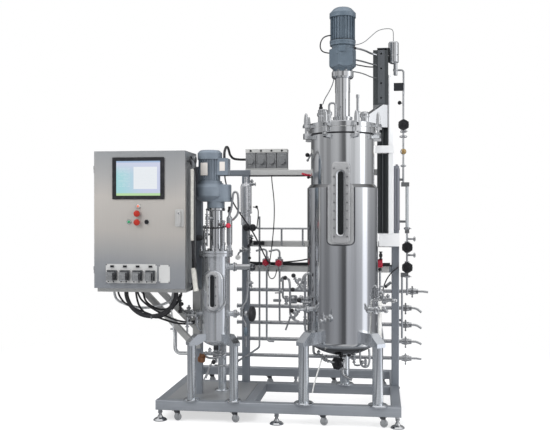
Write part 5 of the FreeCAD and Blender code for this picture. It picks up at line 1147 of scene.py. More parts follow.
def wing_screw(name: str, reach: float) -> Any:
    """Models a clamp's wing nut on its swing bolt.

    Args:
        name: The piece's name.
        reach: The bolt's length in millimetres.

    Returns:
        The mesh object.
    """
    profile = [(3.4, 0), (3.4, 5), (5.4, 6), (5.0, 11), (2.8, 12), (2.6, reach)]
    hub = turned(name, profile, 12).smooth()
    wing = Sculpt.block(name + "_wing", (22, 3.4, 8)).put(Matrix.Translation((0, 0, 5 * MM)))
    wing.pick(faces=facing(ACROSS, both=True)).inset(0.8, 2.5).done().soften(1.1)
    return join([hub, wing.smooth()], name)


@dataclass(frozen=True)
class PumpFace:
    """What one pump head shows: a frame, a rotor with its rollers, and a latch.

    The shares are of the face's width, and of its height for the latch's height.
    """

    wide: float
    tall: float
    rim_share: float = 0.09
    rotor_share: float = 0.36
    roller_angles: Point = (30, 150, 270)
    roller_circle: float = 0.62
    latch_wide: float = 0.16
    latch_tall: float = 0.84
    latch_place: float = 0.40

    def frame(self) -> Any:
        """Models the frame with its sunk face."""
        rim = self.wide * self.rim_share
        return pressed("frame", (self.wide, self.tall, 3.0), 2.0, 2, rim, -1.6).smooth()

    def rotor(self) -> Any:
        """Models the rotor disc with three rollers and a hub nut.

        Returns:
            The mesh object.
        """
        reach = min(self.wide, self.tall) * self.rotor_share
        disc = turned("rotor", [(reach, 0), (reach, 2.2), (reach * 0.8, 3.0), (reach * 0.34, 3.2),
                                (reach * 0.3, 5.0), (reach * 0.1, 5.2)], 28)
        roller = turned("roller", [(reach * 0.26, 1.5), (reach * 0.26, 5.5), (reach * 0.18, 6.2)], 14)
        places = [about("Z", angle) @ Matrix.Translation((reach * self.roller_circle * MM, 0, 0))
                  for angle in self.roller_angles]
        return join([disc.smooth(), spread(roller.smooth(), places)], "rotor")

    def latch(self) -> Any:
        """Models the latch bar down the right edge.

        Returns:
            The mesh object.
        """
        size = (self.wide * self.latch_wide, self.tall * self.latch_tall, 6.0)
        bar = pressed("latch", size, 1.6, 2, 1.4, -1.0)
        return bar.put(Matrix.Translation((self.wide * self.latch_place * MM, 0, 0))).smooth()


@dataclass
class Pumps(SubAssembly):
    """Faces of the door's pumps and of the rack's pumps, placed from each row's low corner."""

    count: int = 4
    door_face: PumpFace = PumpFace(50, 54)
    door_first: Span = (40, 43)
    door_pitch: float = 80
    cover: Point = (66, 98, 2.6)
    cover_set_back: float = 22
    cover_height: float = 62
    divider: Point = (3.4, 106, 4.2)
    divider_height: float = 64
    dot_set_back: float = 18
    dot_drop: float = 12

    def build(self) -> None:
        """Fits the door's pump faces and the rack's covers, dividers and dots."""
        low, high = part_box("door_pumps")
        x, z = self.door_first
        stands = [moved(Vector((low[0] + (x + self.door_pitch * index) * MM, low[1],
                                low[2] + z * MM)), FORWARD) for index in range(self.count)]
        face = self.door_face
        for suffix, model, finish in (("frames", face.frame(), GREY), ("rotors", face.rotor(), GREY),
                                      ("latches", face.latch(), BLACK)):
            model.name = f"door_pump_{suffix}"
            self.fit(spread(model, stands), finish, "door")
        low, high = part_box("rack_pumps")
        pitch = (high[0] - low[0]) / self.count

        def row(shares: Iterable[float], set_back: float, level: float) -> list[Matrix]:
            """Places a row that faces the front, a place for each share of the pitch."""
            return [moved(Vector((low[0] + pitch * share, low[1] + set_back * MM, level)), FORWARD)
                    for share in shares]

        middles = [index + 0.5 for index in range(self.count)]
        cover = Sculpt.block("rack_covers", self.cover).soften(1.2)
        cover.pick(faces=facing(UP)).inset(5.0, -1.0).inset(4.0, 0.8).inset(6.0, -0.8).done()
        self.fit(spread(cover.smooth(), row(middles, self.cover_set_back,
                                            low[2] + self.cover_height * MM)), RACK_GREY)
        divider = Sculpt.block("rack_dividers", self.divider).soften(0.8, 1)
        self.fit(spread(divider.smooth(), row(range(1, self.count), self.cover_set_back,
                                              low[2] + self.divider_height * MM)), BLACK)
        dot = turned("rack_dots", [(7.0, 0), (7.0, 3), (5.0, 5)], 16)
        self.fit(spread(dot.smooth(), row(middles, self.dot_set_back,
                                          high[2] - self.dot_drop * MM)), BLACK)


@dataclass
class Motors(SubAssembly):
    """Plates, flange bolts and cowl lines of the two geared motors."""

    main: Span = (388, -305)
    seed: Span = (-396, -460)
    seed_motor: Span = (-434, -460)
    seed_turn_deg: float = -16
    seed_face: float = 76
    bolt_count: int = 8
    plate_thick: float = 1.6
    plates: tuple[tuple, ...] = (
        ("box_plate", (34, 56), (-347, -505, 1574), PALE_PLATE),
        ("drive_plate", (44, 40), (388, -392, 2310), MOTOR_PAINT))
    seed_plate: Span = (48, 78)
    seed_plate_level: float = 1556
    main_bolts: Span = (60, 9.0)
    seed_bolts: Span = (50, 7.0)
    seed_flange_drop: float = 20
    line_section: float = 1.8
    across_share: float = 1.7
    head_share: float = 0.7

    def plate(self, name: str, size: Span, place: Point, axis: Sequence[float],
              finish: Finish) -> None:
        """Fits a bare plate, pressed with a raised edge.

        Args:
            name: The piece's name.
            size: Its width and height.
            place: Its middle.
            axis: Where it looks.
            finish: What it is dressed in.
        """
        plate = pressed(name, (*size, self.plate_thick), 0.6, 2, 2.4, -0.5).smooth()
        self.repeat(plate, [(place, axis)], finish)

    def bolts(self, name: str, centre: Point, circle: float, size: float) -> None:
        """Fits a ring of hexagon bolts that face upwards.

        Args:
            name: The piece's name.
            centre: The ring's middle.
            circle: The ring's radius.
            size: The diameter of their shanks.
        """
        pitch = 360.0 / self.bolt_count
        angles = [math.radians(pitch * (index + 0.5)) for index in range(self.bolt_count)]
        x, y, z = centre
        self.repeat(hex_nut(name, size * self.across_share, size * self.head_share), [
            ((x + math.cos(angle) * circle, y + math.sin(angle) * circle, z), UP, 30 * index)
            for index, angle in enumerate(angles)], PIPE)

    def build(self) -> None:
        """Fits the trim of both motors."""
        turn = math.radians(self.seed_turn_deg)
        face = (math.sin(turn), -math.cos(turn), 0)
        x, y = (middle + self.seed_face * part for middle, part in zip(self.seed_motor, face))
        place = (x, y, self.seed_plate_level)
        self.plate("motor_plate", self.seed_plate, place, face, PALE_PLATE)
        for name, size, place, finish in self.plates:
            self.plate(name, size, place, FORWARD, finish)
        _, main_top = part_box("main_pedestal")
        _, seed_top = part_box("seed_pedestal")
        self.bolts("main_flange_bolts", (*self.main, main_top[2] / MM), *self.main_bolts)
        self.bolts("seed_flange_bolts", (*self.seed, seed_top[2] / MM - self.seed_flange_drop),
                   *self.seed_bolts)
        for name, middle, z, radius in (("main_cowl_line", self.main, 2518, 79.5),
                                        ("main_base_line", self.main, 2370, 80.5),
                                        ("seed_cowl_line", self.seed_motor, 1632, 70.0)):
            line = Sculpt.ring(name, radius, self.line_section, 64, 8)
            self.fit(line.put(Matrix.Translation(PLAN.at(*middle, z))).smooth(), BLACK)


@dataclass
class Cabinet(SubAssembly):
    """Trim of the control cabinet: seal, screws, lamp, collars, handle and side entry."""

    seal_inset: float = 7
    seal_wide: float = 9
    seal_depth: float = 5
    station_face: float = -685
    blank_screws: tuple[Span, Span] = ((-696, -636), (866, 966))
    pump_screws: tuple[Span, Span] = ((-1028, -716), (862, 970))
    lamp: Span = (-828, 1325)
    buttons: tuple[Span, ...] = ((-833, 1280), (-833, 1227), (-887, 1230), (-776, 1230))
    start_cap: Point = (-887, -689.2, 1230)
    lens_face: float = -682.2
    collar_face: float = -682.1
    screw_radius: float = 1.8
    screw_height: float = 1.26
    grip_lift: float = 0.3
    lock_offset: Point = (0, -1.8, 28)
    trunking: tuple[Point, Point] = ((16, 24, 436), (-508.8, -622, 1116))
    side_box: tuple[Point, Point] = ((26, 30, 143), (-488, -608, 807))
    side_box_lean: float = -7
    lead_depths: Point = (-586, -560, -540)

    def build(self) -> None:
        """Fits the cabinet's trim."""
        self.seal()
        for name, (across, levels) in (("blank_plate_screws", self.blank_screws),
                                       ("pump_plate_screws", self.pump_screws)):
            self.repeat(cap_screw(name, self.screw_radius, self.screw_height), [
                ((x, self.station_face, z), FORWARD) for x in across for z in levels], PIPE, "door")
        lens = turned("lamp_lens", [(13.5, 0), (13.5, 3), (12.0, 8), (8.5, 12), (3.0, 14.4)], 28)
        x, z = self.lamp
        self.repeat(lens.smooth(), [((x, self.lens_face, z), FORWARD)], LAMP_LENS, "door")
        collar = turned("button_collars", [(15.6, 0), (15.6, 2.2), (14.2, 4.2), (12.2, 4.6)])
        collar.smooth()
        collar.pick(faces=facing(UP, limit=SQUARE_ON)).inset(0.9, -3.2).done()
        self.repeat(collar.piece, [((x, self.collar_face, z), FORWARD)
                                   for x, z in (*self.buttons, self.lamp)], PIPE, "door")
        dome = turned("start_cap", [(7.6, 0), (7.6, 1.6), (6.2, 3.0), (2.5, 3.8)], 24)
        self.repeat(dome.smooth(), [(self.start_cap, FORWARD)], GREEN, "start")
        self.handle()
        self.side_entry()

    def seal(self) -> None:
        """Fits the dark seal that shows in the gap round the door."""
        low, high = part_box("cabinet_door")
        wide, tall = ((high[axis] - low[axis]) / MM - 2 * self.seal_inset for axis in (0, 2))
        seal = Sculpt.block("door_seal", (wide, tall, 1.3))
        seal.pick(faces=facing(UP, both=True)).inset(self.seal_wide).hollow()
        middle = Vector(((low[0] + high[0]) / 2, high[1] - self.seal_depth * MM,
                         (low[2] + high[2]) / 2))
        self.fit(seal.put(moved(middle, FORWARD)).smooth(), BLACK)

    def handle(self) -> None:
        """Fits the raised grip and the lock barrel over the handle."""
        low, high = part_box("door_handle")
        middle = Vector(((low[0] + high[0]) / 2, low[1], (low[2] + high[2]) / 2))
        grip = pressed("handle_grip", (17, 84, 2.4), 1.8, 3, 4.6, -0.7)
        place = middle + Vector((0, self.grip_lift, 0)) * MM
        self.fit(grip.put(moved(place, FORWARD)).smooth(), SATIN, "handle")
        lock = turned("handle_lock", [(5.4, 0), (5.4, 2.0), (4.6, 2.8)], 24)
        lock.pick(faces=facing(UP, limit=SQUARE_ON)).inset(3.2).inset(0.4, -1.4).done()
        place = middle + Vector(self.lock_offset) * MM
        self.fit(lock.put(moved(place, FORWARD)).smooth(), PIPE, "handle")

    def side_entry(self) -> None:
        """Fits the cable ring, the trunking and the leads beside the cabinet."""
        ring = Sculpt.ring("entry_ring", 25, 4, 32, 10).smooth()
        self.repeat(ring, [((-517, -620, 1604), ACROSS)], BLACK)
        for name, (size, place), edge, steps, lean in (
                ("side_trunking", self.trunking, 2.4, 2, 0),
                ("side_box", self.side_box, 3.0, 3, self.side_box_lean)):
            form = pressed(name, size, edge, steps, 3.4, -1.0, FORWARD)
            form.put(Matrix.Translation(PLAN.at(*place)) @ about("Y", lean))
            self.fit(form.smooth(), CREAM)
        self.cables(Route("entry_cable", 9.5, [
            (-545, -620, 1604), (-512, -620, 1603), (-503, -620, 1586), (-503, -620, 1556)], LEAD))
        for index, y in enumerate(self.lead_depths):
            rise = 30 * index
            self.cables(Route(f"side_lead_{index + 1}", 5.2, [
                (-520, y - 4, 846 - 8 * index), (-508, y, 866), (-507, y, 1180), (-508, y + 2, 1400),
                (-509, y + 2, 1500 + rise), (-520, y + 4, 1530 + rise)],
                LEAD if index == 1 else CABLE))


@dataclass
class Bundles(SubAssembly):
    """Cables that stay clipped to the skid."""

    floor: float = 826
    bend: float = 60
    slack: tuple[Point, ...] = ((-1045, -665, 150), (-905, -640, 215), (-860, -612, 160))
    glands: tuple[Point, ...] = ((448, -276, 2334), (440, -268, 2262))
    gland_axis: Point = (0.62, 0.78, 0)
    rail_cables: tuple[Route, ...] = (
        Route("rail_cable_1", 7.0, [(-262, 16, 948), (-180, 12, 944), (-60, 14, 946), (60, 12, 943),
            (180, 14, 946), (300, 12, 944), (430, 13, 946), (560, 12, 944), (690, 13, 946)]),
        Route("rail_cable_2", 6.0, [(-262, 14, 934), (-120, 16, 936), (40, 13, 933), (200, 16, 935),
            (380, 13, 933), (540, 15, 936), (700, 13, 934)]),
        Route("rail_bow", 5.0, [(-40, 14, 950), (20, 8, 956), (80, 6, 962), (140, 8, 974),
            (190, 12, 984)]),
        Route("top_cable", 5.0, [(-262, 14, 1538), (-180, 12, 1537), (-60, 12, 1538), (80, 12, 1536),
            (160, 14, 1538)]),
        Route("drop_cable", 3.5, [(-108, 12, 1540), (-106, 8, 1500), (-94, 6, 1410), (-88, 5, 1326),
            (-90, 5, 1220), (-101, 5, 1099), (-112, 8, 1010), (-122, 10, 948)]),
        Route("hanging_loop", 3.2, [(-131, 2, 900), (-129, -4, 868), (-118, -8, 846), (-103, -8, 838),
            (-88, -8, 846), (-76, -4, 868), (-72, 2, 900)]),
        Route("seed_lead", 4.6, [(-336, -478, 1520), (-334, -482, 1490), (-310, -470, 1400),
            (-280, -440, 1330), (-240, -400, 1262), (-190, -340, 1180), (-150, -260, 1080),
            (-130, -160, 1000), (-118, -60, 950), (-112, 0, 936)]),
        Route("filter_lead", 3.6, [(-232, -18, 1326), (-205, -22, 1326), (-193, -24, 1300),
            (-196, -26, 1240), (-206, -20, 1180)]),
    )
    drive_leads: tuple[Route, ...] = (
        Route("lid_wire", 2.4, [(440, -262, 2352), (470, -240, 2357), (520, -200, 2380),
            (566, -130, 2436), (604, -60, 2486), (650, -24, 2506), (690, -18, 2506), (708, -17, 2496),
            (710, -17, 2460), (710, -17, 2417)], LEAD),
        Route("motor_loop", 4.0, [(318, -322, 2405), (292, -330, 2403), (262, -334, 2386),
            (247, -334, 2350), (250, -332, 2316), (272, -326, 2296), (316, -318, 2293)]),
    )
    end_leads: tuple[Route, ...] = (
        Route("probe_wire", 3.0, [(267, -364, 1966), (276, -360, 1996), (304, -346, 2044),
            (326, -334, 2092), (337, -328, 2140), (340, -324, 2176)], LEAD),
        Route("post_wire", 4.2, [(643, -20, 777), (652, -30, 812), (672, -32, 856), (700, -20, 892),
            (728, -6, 912), (742, 8, 922)]),
    )

    def build(self) -> None:
        """Fits the cables."""
        self.under_cabinet()
        self.rails()
        self.lift()

    def under_cabinet(self) -> None:
        """Fits the slack cables below the cabinet's floor, the drain hose and the tie."""
        floor = self.floor
        for index, (start, end, dip) in enumerate(self.slack):
            back, low = -500 + 8 * index, floor - 0.72 * dip
            self.cables(Route(f"floor_cable_{index + 1}", 6.5 if index else 8.0, [
                (start, back, floor), (start, back, floor - self.bend), (start + 30, -492, low),
                ((start + end) / 2, -486, floor - dip), (end - 26, -480, low),
                (end, -476, floor - self.bend), (end, -476, floor)], CABLE if index else HOSE))
        self.cables(Route("drain_hose", 5.0, [
            (-676, -500, 700), (-668, -498, 640), (-656, -494, 520), (-650, -490, 430),
            (-640, -486, 404), (-600, -482, 402), (-540, -478, 402)], HOSE))
        tie = Sculpt.cylinder("bundle_ties", 14.0, 5.0, 20)
        tie.pick(faces=facing(UP, both=True)).inset(0.9, -0.5).done()
        self.repeat(tie.smooth(), [((-780, -575, 642), ACROSS)], GREY)

    def rails(self) -> None:
        """Fits the cables along the rails and down from the rack."""
        self.cables(*self.rail_cables)

    def lift(self) -> None:
        """Fits the leads between the main drive and the lift."""
        self.cables(*self.drive_leads)
        for index, ((x, y, z), end, radius, finish) in enumerate((
                ((452, -272, 2334), 2330, 6.2, PIPE), ((446, -262, 2262), 2262, 5.2, LEAD),
                ((450, -268, 2184), 2176, 3.6, LEAD))):
            self.cables(Route(f"column_lead_{index + 1}", radius, [
                (x, y, z), (x + 38, y + 40, z + 1), (x + 80, y + 110, (z + end) / 2 + 2),
                (560, -84, end + 3), (592, -56, end), (600, -52, end - 2)], finish))
        gland = turned("lead_glands", [(11, 0), (11, 12), (9, 14), (9, 30), (6.5, 34)], 16)
        self.repeat(gland.smooth(), [(place, self.gland_axis) for place in self.glands], BLACK)
        self.cables(*self.end_leads)


def lever_stand(x: float, y: float, z: float, turn_deg: float) -> Matrix:
    """Places a lever that faces the front and points at an angle from +X."""
    return Matrix.Translation(PLAN.at(x, y, z)) @ about("X", 90) @ about("Z", turn_deg)


@dataclass
class Fittings(SubAssembly):
    """Knobs, levers, clamps, caps, tubes, window trim and feet."""

    main_shell: Point = (388, -305, 242)
    seed_shell: Point = (-396, -460, 88)
    knob_axis: Point = (0.1, -1, 0)
    black_knobs: tuple[Point, ...] = (
        (32, -384, 876), (82, -398, 804), (120, -398, 738), (76, -398, 672), (86, -398, 892),
        (157, -218, 1660), (-396, -534, 363), (431, -362, 398), (-605, -540, 676))
    large_knobs: tuple[Point, ...] = ((-271, -44, 1188), (-230, -44, 1186))
    small_knobs: tuple[Point, ...] = (
        (-258, -46, 1063), (-250, -46, 982), (660, -304, 822), (163, -212, 1516), (-205, -30, 1326))
    sensors: tuple[Point, ...] = ((255, -364, 1932), (-310, -460, 1288), (-433, -396, 1144))
    pale_lever: Span = (84, 11)
    red_lever: Span = (46, 13)
    upright_joints: tuple[Point, ...] = (
        (-279, -18, 1300), (-279, -18, 1468), (711, -17, 2280), (777, 4, 1826), (802, 30, 1182),
        (802, 30, 862), (393, -302, 300))
    level_joints: tuple[Point, ...] = ((-588, -460, 655), (-202, -460, 655), (-160, -460, 948))
    wing_offset: Span = (16, -20)
    window_screws: tuple[tuple, ...] = (
        ((349, 427), -562, 1142, 51.4, 9), ((-418.5, -373.5), -582, 720, 56, 4))
    blister: tuple[Point, Point] = ((130, 260, 62), (-396, -480, 805))
    blister_round: float = 62
    rim: Span = (204, 1776)
    feet_x: Point = (-728, 0, 728)
    feet_y: Span = (-560, 560)
    foot_nut_level: float = 46
    foot_threads: tuple[int, int, int] = (34, 68, 3)
    tube_radius: float = 7.0
    valve_tubes: tuple[tuple[str, Sequence[Point]], ...] = (
        ("manifold_riser", [(32, -384, 876), (52, -388, 874), (62, -392, 850), (64, -394, 780),
            (64, -394, 680), (66, -394, 640), (90, -400, 612), (120, -404, 606)]),
        ("manifold_branch", [(82, -398, 804), (112, -398, 806), (140, -398, 850), (150, -396, 896),
            (190, -392, 912), (214, -388, 900)]),
        ("manifold_link", [(76, -398, 672), (100, -400, 648), (124, -402, 676), (150, -402, 700),
            (158, -401, 716)]),
        ("seed_drain_run", [(-404, -468, 330), (-350, -462, 327), (-300, -420, 326), (-284, -200, 324),
            (-286, -20, 310), (-289, 14, 300)]),
        ("seed_drain_loop", [(-470, -470, 392), (-440, -500, 380), (-396, -510, 384), (-350, -500, 392),
            (-330, -470, 404)]),
        ("main_drain_loop", [(500, -330, 420), (500, -340, 350), (512, -345, 325), (535, -345, 318),
            (556, -345, 330), (560, -340, 380), (556, -330, 430)]),
        ("right_riser", [(623, -26, 900), (623, -28, 760), (622, -28, 600), (640, -26, 470),
            (646, -20, 420)]),
        ("hook_tube", [(-310, -462, 1280), (-298, -472, 1292), (-286, -480, 1380), (-282, -480, 1408),
            (-268, -480, 1418), (-254, -480, 1408), (-250, -480, 1380), (-250, -470, 1300),
            (-262, -470, 1262), (-290, -466, 1240)]),
        ("rail_link", [(-236, -18, 1204), (-216, -14, 1190), (-206, 2, 1181), (-190, 12, 1180)]),
    )
    ring_lead: Route = Route("seed_ring_lead", 4.5, [
        (-300, -524, 1204), (-330, -540, 1196), (-380, -548, 1190), (-430, -540, 1192),
        (-452, -520, 1196)])

    def build(self) -> None:
        """Fits everything."""
        self.knobs()
        self.levers()
        self.clamps()
        self.caps()
        self.tubes()
        self.window_trim()
        self.feet()

    def ball_knobs(self, name: str, radius: float, places: Sequence[Point],
                   axis: Sequence[float]) -> None:
        """Fits ball knobs on their necks.

        Args:
            name: The piece's name.
            radius: A ball's radius.
            places: Their middles.
            axis: Where they point.
        """
        ball = Sculpt.ball(name, radius).pick(faces=facing((0, 0, -1), limit=0.85))
        ball.extrude(-radius * 0.55).done()
        self.repeat(ball.smooth(50), [(place, axis) for place in places], BLACK)

    def lever(self, name: str, reach: float, wide: float) -> Any:
        """Models a flat valve lever with a hub and a rounded grip, along +X.

        Args:
            name: The piece's name.
            reach: Its length in millimetres.
            wide: Its width.

        Returns:
            The mesh object.
        """
        hub = turned(name, [(wide * 0.75, -4), (wide * 0.75, 4), (wide * 0.5, 6)], 18)
        grip = pressed(name + "_grip", (reach, wide, 4), 1.8, 3, 1.0, 2.0, ACROSS)
        grip.put(Matrix.Translation((reach * 0.5 * MM, 0, 2 * MM)))
        return join([hub.smooth(), grip.smooth()], name)

    def knobs(self) -> None:
        """Fits the black ball knobs, caps and rail blocks."""
        self.ball_knobs("black_knobs", 14, self.black_knobs, self.knob_axis)
        self.ball_knobs("large_knobs", 25, self.large_knobs, self.knob_axis)
        self.ball_knobs("small_knobs", 10, self.small_knobs, self.knob_axis)
        grip = turned("side_grip", [(9, 0), (15, 3), (17, 12), (17, 34), (14, 44)], 20)
        self.repeat(grip.smooth(), [((-468, -520, 1130), (-1, -0.15, 0))], BLACK)
        cap = turned("sensor_caps", [(12, 0), (12, 16), (9, 18), (9, 34), (5, 37)], 18)
        self.repeat(cap.smooth(), [(place, UP) for place in self.sensors], BLACK)
        block = pressed("rail_blocks", (30, 26, 34), 3, 2, 5, 3)
        self.repeat(block.smooth(), [((x, -4, 1082), FORWARD) for x in (-211, -169)], BLACK)

    def levers(self) -> None:
        """Fits the hand levers, the red valve and the port's wheel."""
        self.fit(spread(self.lever("pale_levers", *self.pale_lever), [
            lever_stand(64, -384, 628, 250), lever_stand(-417, -524, 340, 250),
            lever_stand(158, -208, 1626, 60)]), PIPE)
        red = self.lever("red_levers", *self.red_lever)
        self.fit(spread(red, [lever_stand(166, -206, 1528, 165)]), RED)
        valve = pressed("red_valve_body", (34, 56, 26), 5, 3, 6, 3)
        self.repeat(valve.smooth(), [((623, -4, 950), FORWARD)], RED)
        self.ball_knobs("red_valve_foot", 12, [(623, -14, 908)], FORWARD)
        grip = turned("red_grip", [(14, 0), (16, 6), (16, 26), (12, 34)], 24)
        self.repeat(grip.smooth(), [((-306, -528, 1206), (0.3, -1, 0))], RED)
        rim = turned("port_wheel", [(40, 0), (48, 4), (48, 20), (40, 26)])
        self.repeat(rim.smooth(), [((-178, -466, 656), (1, -0.15, 0))], BLACK)

    def clamps(self) -> None:
        """Fits clamp rings with wing nuts where tubes are coupled."""
        joints = [(place, UP) for place in self.upright_joints]
        joints += [(place, ACROSS) for place in self.level_joints]
        aside, ahead = self.wing_offset
        band = turned("clamp_bands", [(16, -7), (21, -5), (21, 5), (16, 7)], 28)
        self.repeat(band.smooth(), joints, POLISHED)
        self.repeat(wing_screw("clamp_wings", 24), [
            ((x + (0 if axis == ACROSS else aside), y + ahead, z), FORWARD)
            for (x, y, z), axis in joints], PIPE)

    def caps(self) -> None:
        """Fits the copper body and the small valve bonnets."""
        copper = turned("copper_body", [(18, 0), (24, 6), (24, 30), (16, 36), (16, 52)], 24)
        self.repeat(copper.smooth(), [((-486, -478, 352), (0.1, -0.1, 1))], COPPER)
        bonnet = turned("bonnets", [(9, 0), (9, 8), (13, 10), (13, 20), (6, 22), (6, 34)], 18)
        self.repeat(bonnet.smooth(), [
            ((44, -368, 735), FORWARD), ((2, -342, 862), FORWARD), ((2, -342, 790), FORWARD),
            ((136, -478, 705), (-0.4, -1, 0.3)), ((640, -478, 705), (0.4, -1, 0.3)),
            ((698, -320, 735), (0.4, -1, 0)), ((284, -600, 655), UP), ((-566, -474, 672), UP),
            ((-566, -474, 638), (0, 0, -1)), ((-228, -474, 672), UP)], PIPE)

    def tubes(self) -> None:
        """Fits the small tubes that tie the valves together."""
        self.cables(*(Route(name, self.tube_radius, points, PIPE)
                      for name, points in self.valve_tubes))
        self.cables(self.ring_lead)

    def window_trim(self) -> None:
        """Fits painted shade in the sight windows' screw sockets, the seed window's blister, weld
        beads, retainers and the painted shadow under the lid's rim.
        """
        # Painted shade: a flat black hexagon stands for the shadow inside each screw's socket.
        socket = turned("window_sockets", [(4.8, 0), (4.8, 0.6), (3.4, 0.9)], 6)
        self.repeat(socket.smooth(), [
            ((x, y, first + pitch * index), FORWARD)
            for sides, y, first, pitch, count in self.window_screws
            for x in sides for index in range(count)], BLACK)
        size, place = self.blister
        blister = Sculpt.block("seed_window_blister", size)
        blister.pick(edges=upright_edge(size[2] * MM / 2)).bevel(self.blister_round, 10).done()
        blister.pick(faces=facing(UP)).inset(13, 14).done()
        self.repeat(blister.smooth(50), [(place, FORWARD)], SEED_SHELL)
        # The main window's bead is a dark weld and also painted contact shadow under the pad.
        self.weld_bead("main_window_bead_and_shadow", self.main_shell, 83, (1440, 1136, 1089), 0.5, 4.4,
                       WELD_AND_CONTACT_SHADOW)
        self.weld_bead("seed_window_bead", self.seed_shell, 72, (900, 748, 672), 1.0, 6.0, PIPE)
        self.retainer("slot_retainer", (388, -561, 1343.5), (17.8, 383.6), (8.2, 2.0), 7)
        self.retainer("seed_retainer", (-396, -580.6, 805.0), (13.8, 196.6), (3.8, 0.9), 3.6)
        radius, level = self.rim
        rim = Sculpt.ring("rim_shadow", radius, 5.0, 96, 10)
        rim.put(Matrix.Translation(PLAN.at(*self.main_shell[:2], level)))
        self.fit(rim.smooth(), BLACK)

    def retainer(self, name: str, middle: Point, slot: Span, flange: Span, height: float) -> None:
        """Fits the bevelled ring that holds the glass in a window's slot.

        Args:
            name: The piece's name.
            middle: The ring's middle on the plate.
            slot: Half the slot's width, and its height.
            flange: How wide the bevel and the flat round it are.
            height: How far the ring stands out.
        """
        half, tall = slot[0] + sum(flange), slot[1] + 2 * sum(flange)
        bevel, flat = flange
        ring = Sculpt.block(name, (2 * half, tall, height))
        ring.pick(edges=upright_edge(height * MM / 2)).bevel(half - 0.2, 10).done()
        ring.pick(faces=facing(UP)).inset(flat).inset(bevel, 0.4 - height).done()
        ring.pick(faces=facing((0, 0, -1))).inset(sum(flange)).done()
        ends = facing(UP, both=True)
        ring.pick(faces=lambda face: ends(face) and len(face.verts) > 12).hollow()
        self.repeat(ring.smooth(25), [(middle, FORWARD)], PIPE)

    def weld_bead(self, name: str, shell: Point, half: float, levels: Point, power: float,
                  radius: float, finish: Finish) -> None:
        """Fits a U-shaped bead that lies on a round shell.

        Args:
            name: The piece's name.
            shell: The shell's axis and its radius.
            half: Half the U's width.
            levels: Where its sides start, where they turn and its lowest place.
            power: 1 for a round turn, less for a squarer one.
            radius: The bead's own radius.
            finish: What it is dressed in.
        """
        top, turn, low = levels
        turns = [math.pi * index / 12 for index in range(13)]
        outline = [(-half, top), (-half, (top + turn) / 2)] + [
            (math.copysign(abs(math.cos(angle)) ** power, -math.cos(angle)) * half,
             turn - (turn - low) * math.sin(angle) ** power) for angle in turns] + [
            (half, (top + turn) / 2), (half, top)]
        self.cables(Route(name, radius, [
            (shell[0] + x, shell[1] - math.sqrt(shell[2] ** 2 - x * x), z)
            for x, z in outline], finish))

    def feet(self) -> None:
        """Fits the levelling feet's nuts and the turns of their threads."""
        feet = [(x, y) for x in self.feet_x for y in self.feet_y]
        self.repeat(hex_nut("foot_nuts", 26, 9), [
            ((x, y, self.foot_nut_level), UP) for x, y in feet], PIPE)
        thread = Sculpt.ring("foot_threads", 9.2, 0.9, 28, 6).smooth()
        self.repeat(thread, [((x, y, z), UP) for x, y in feet for z in range(*self.foot_threads)],
                    PIPE)


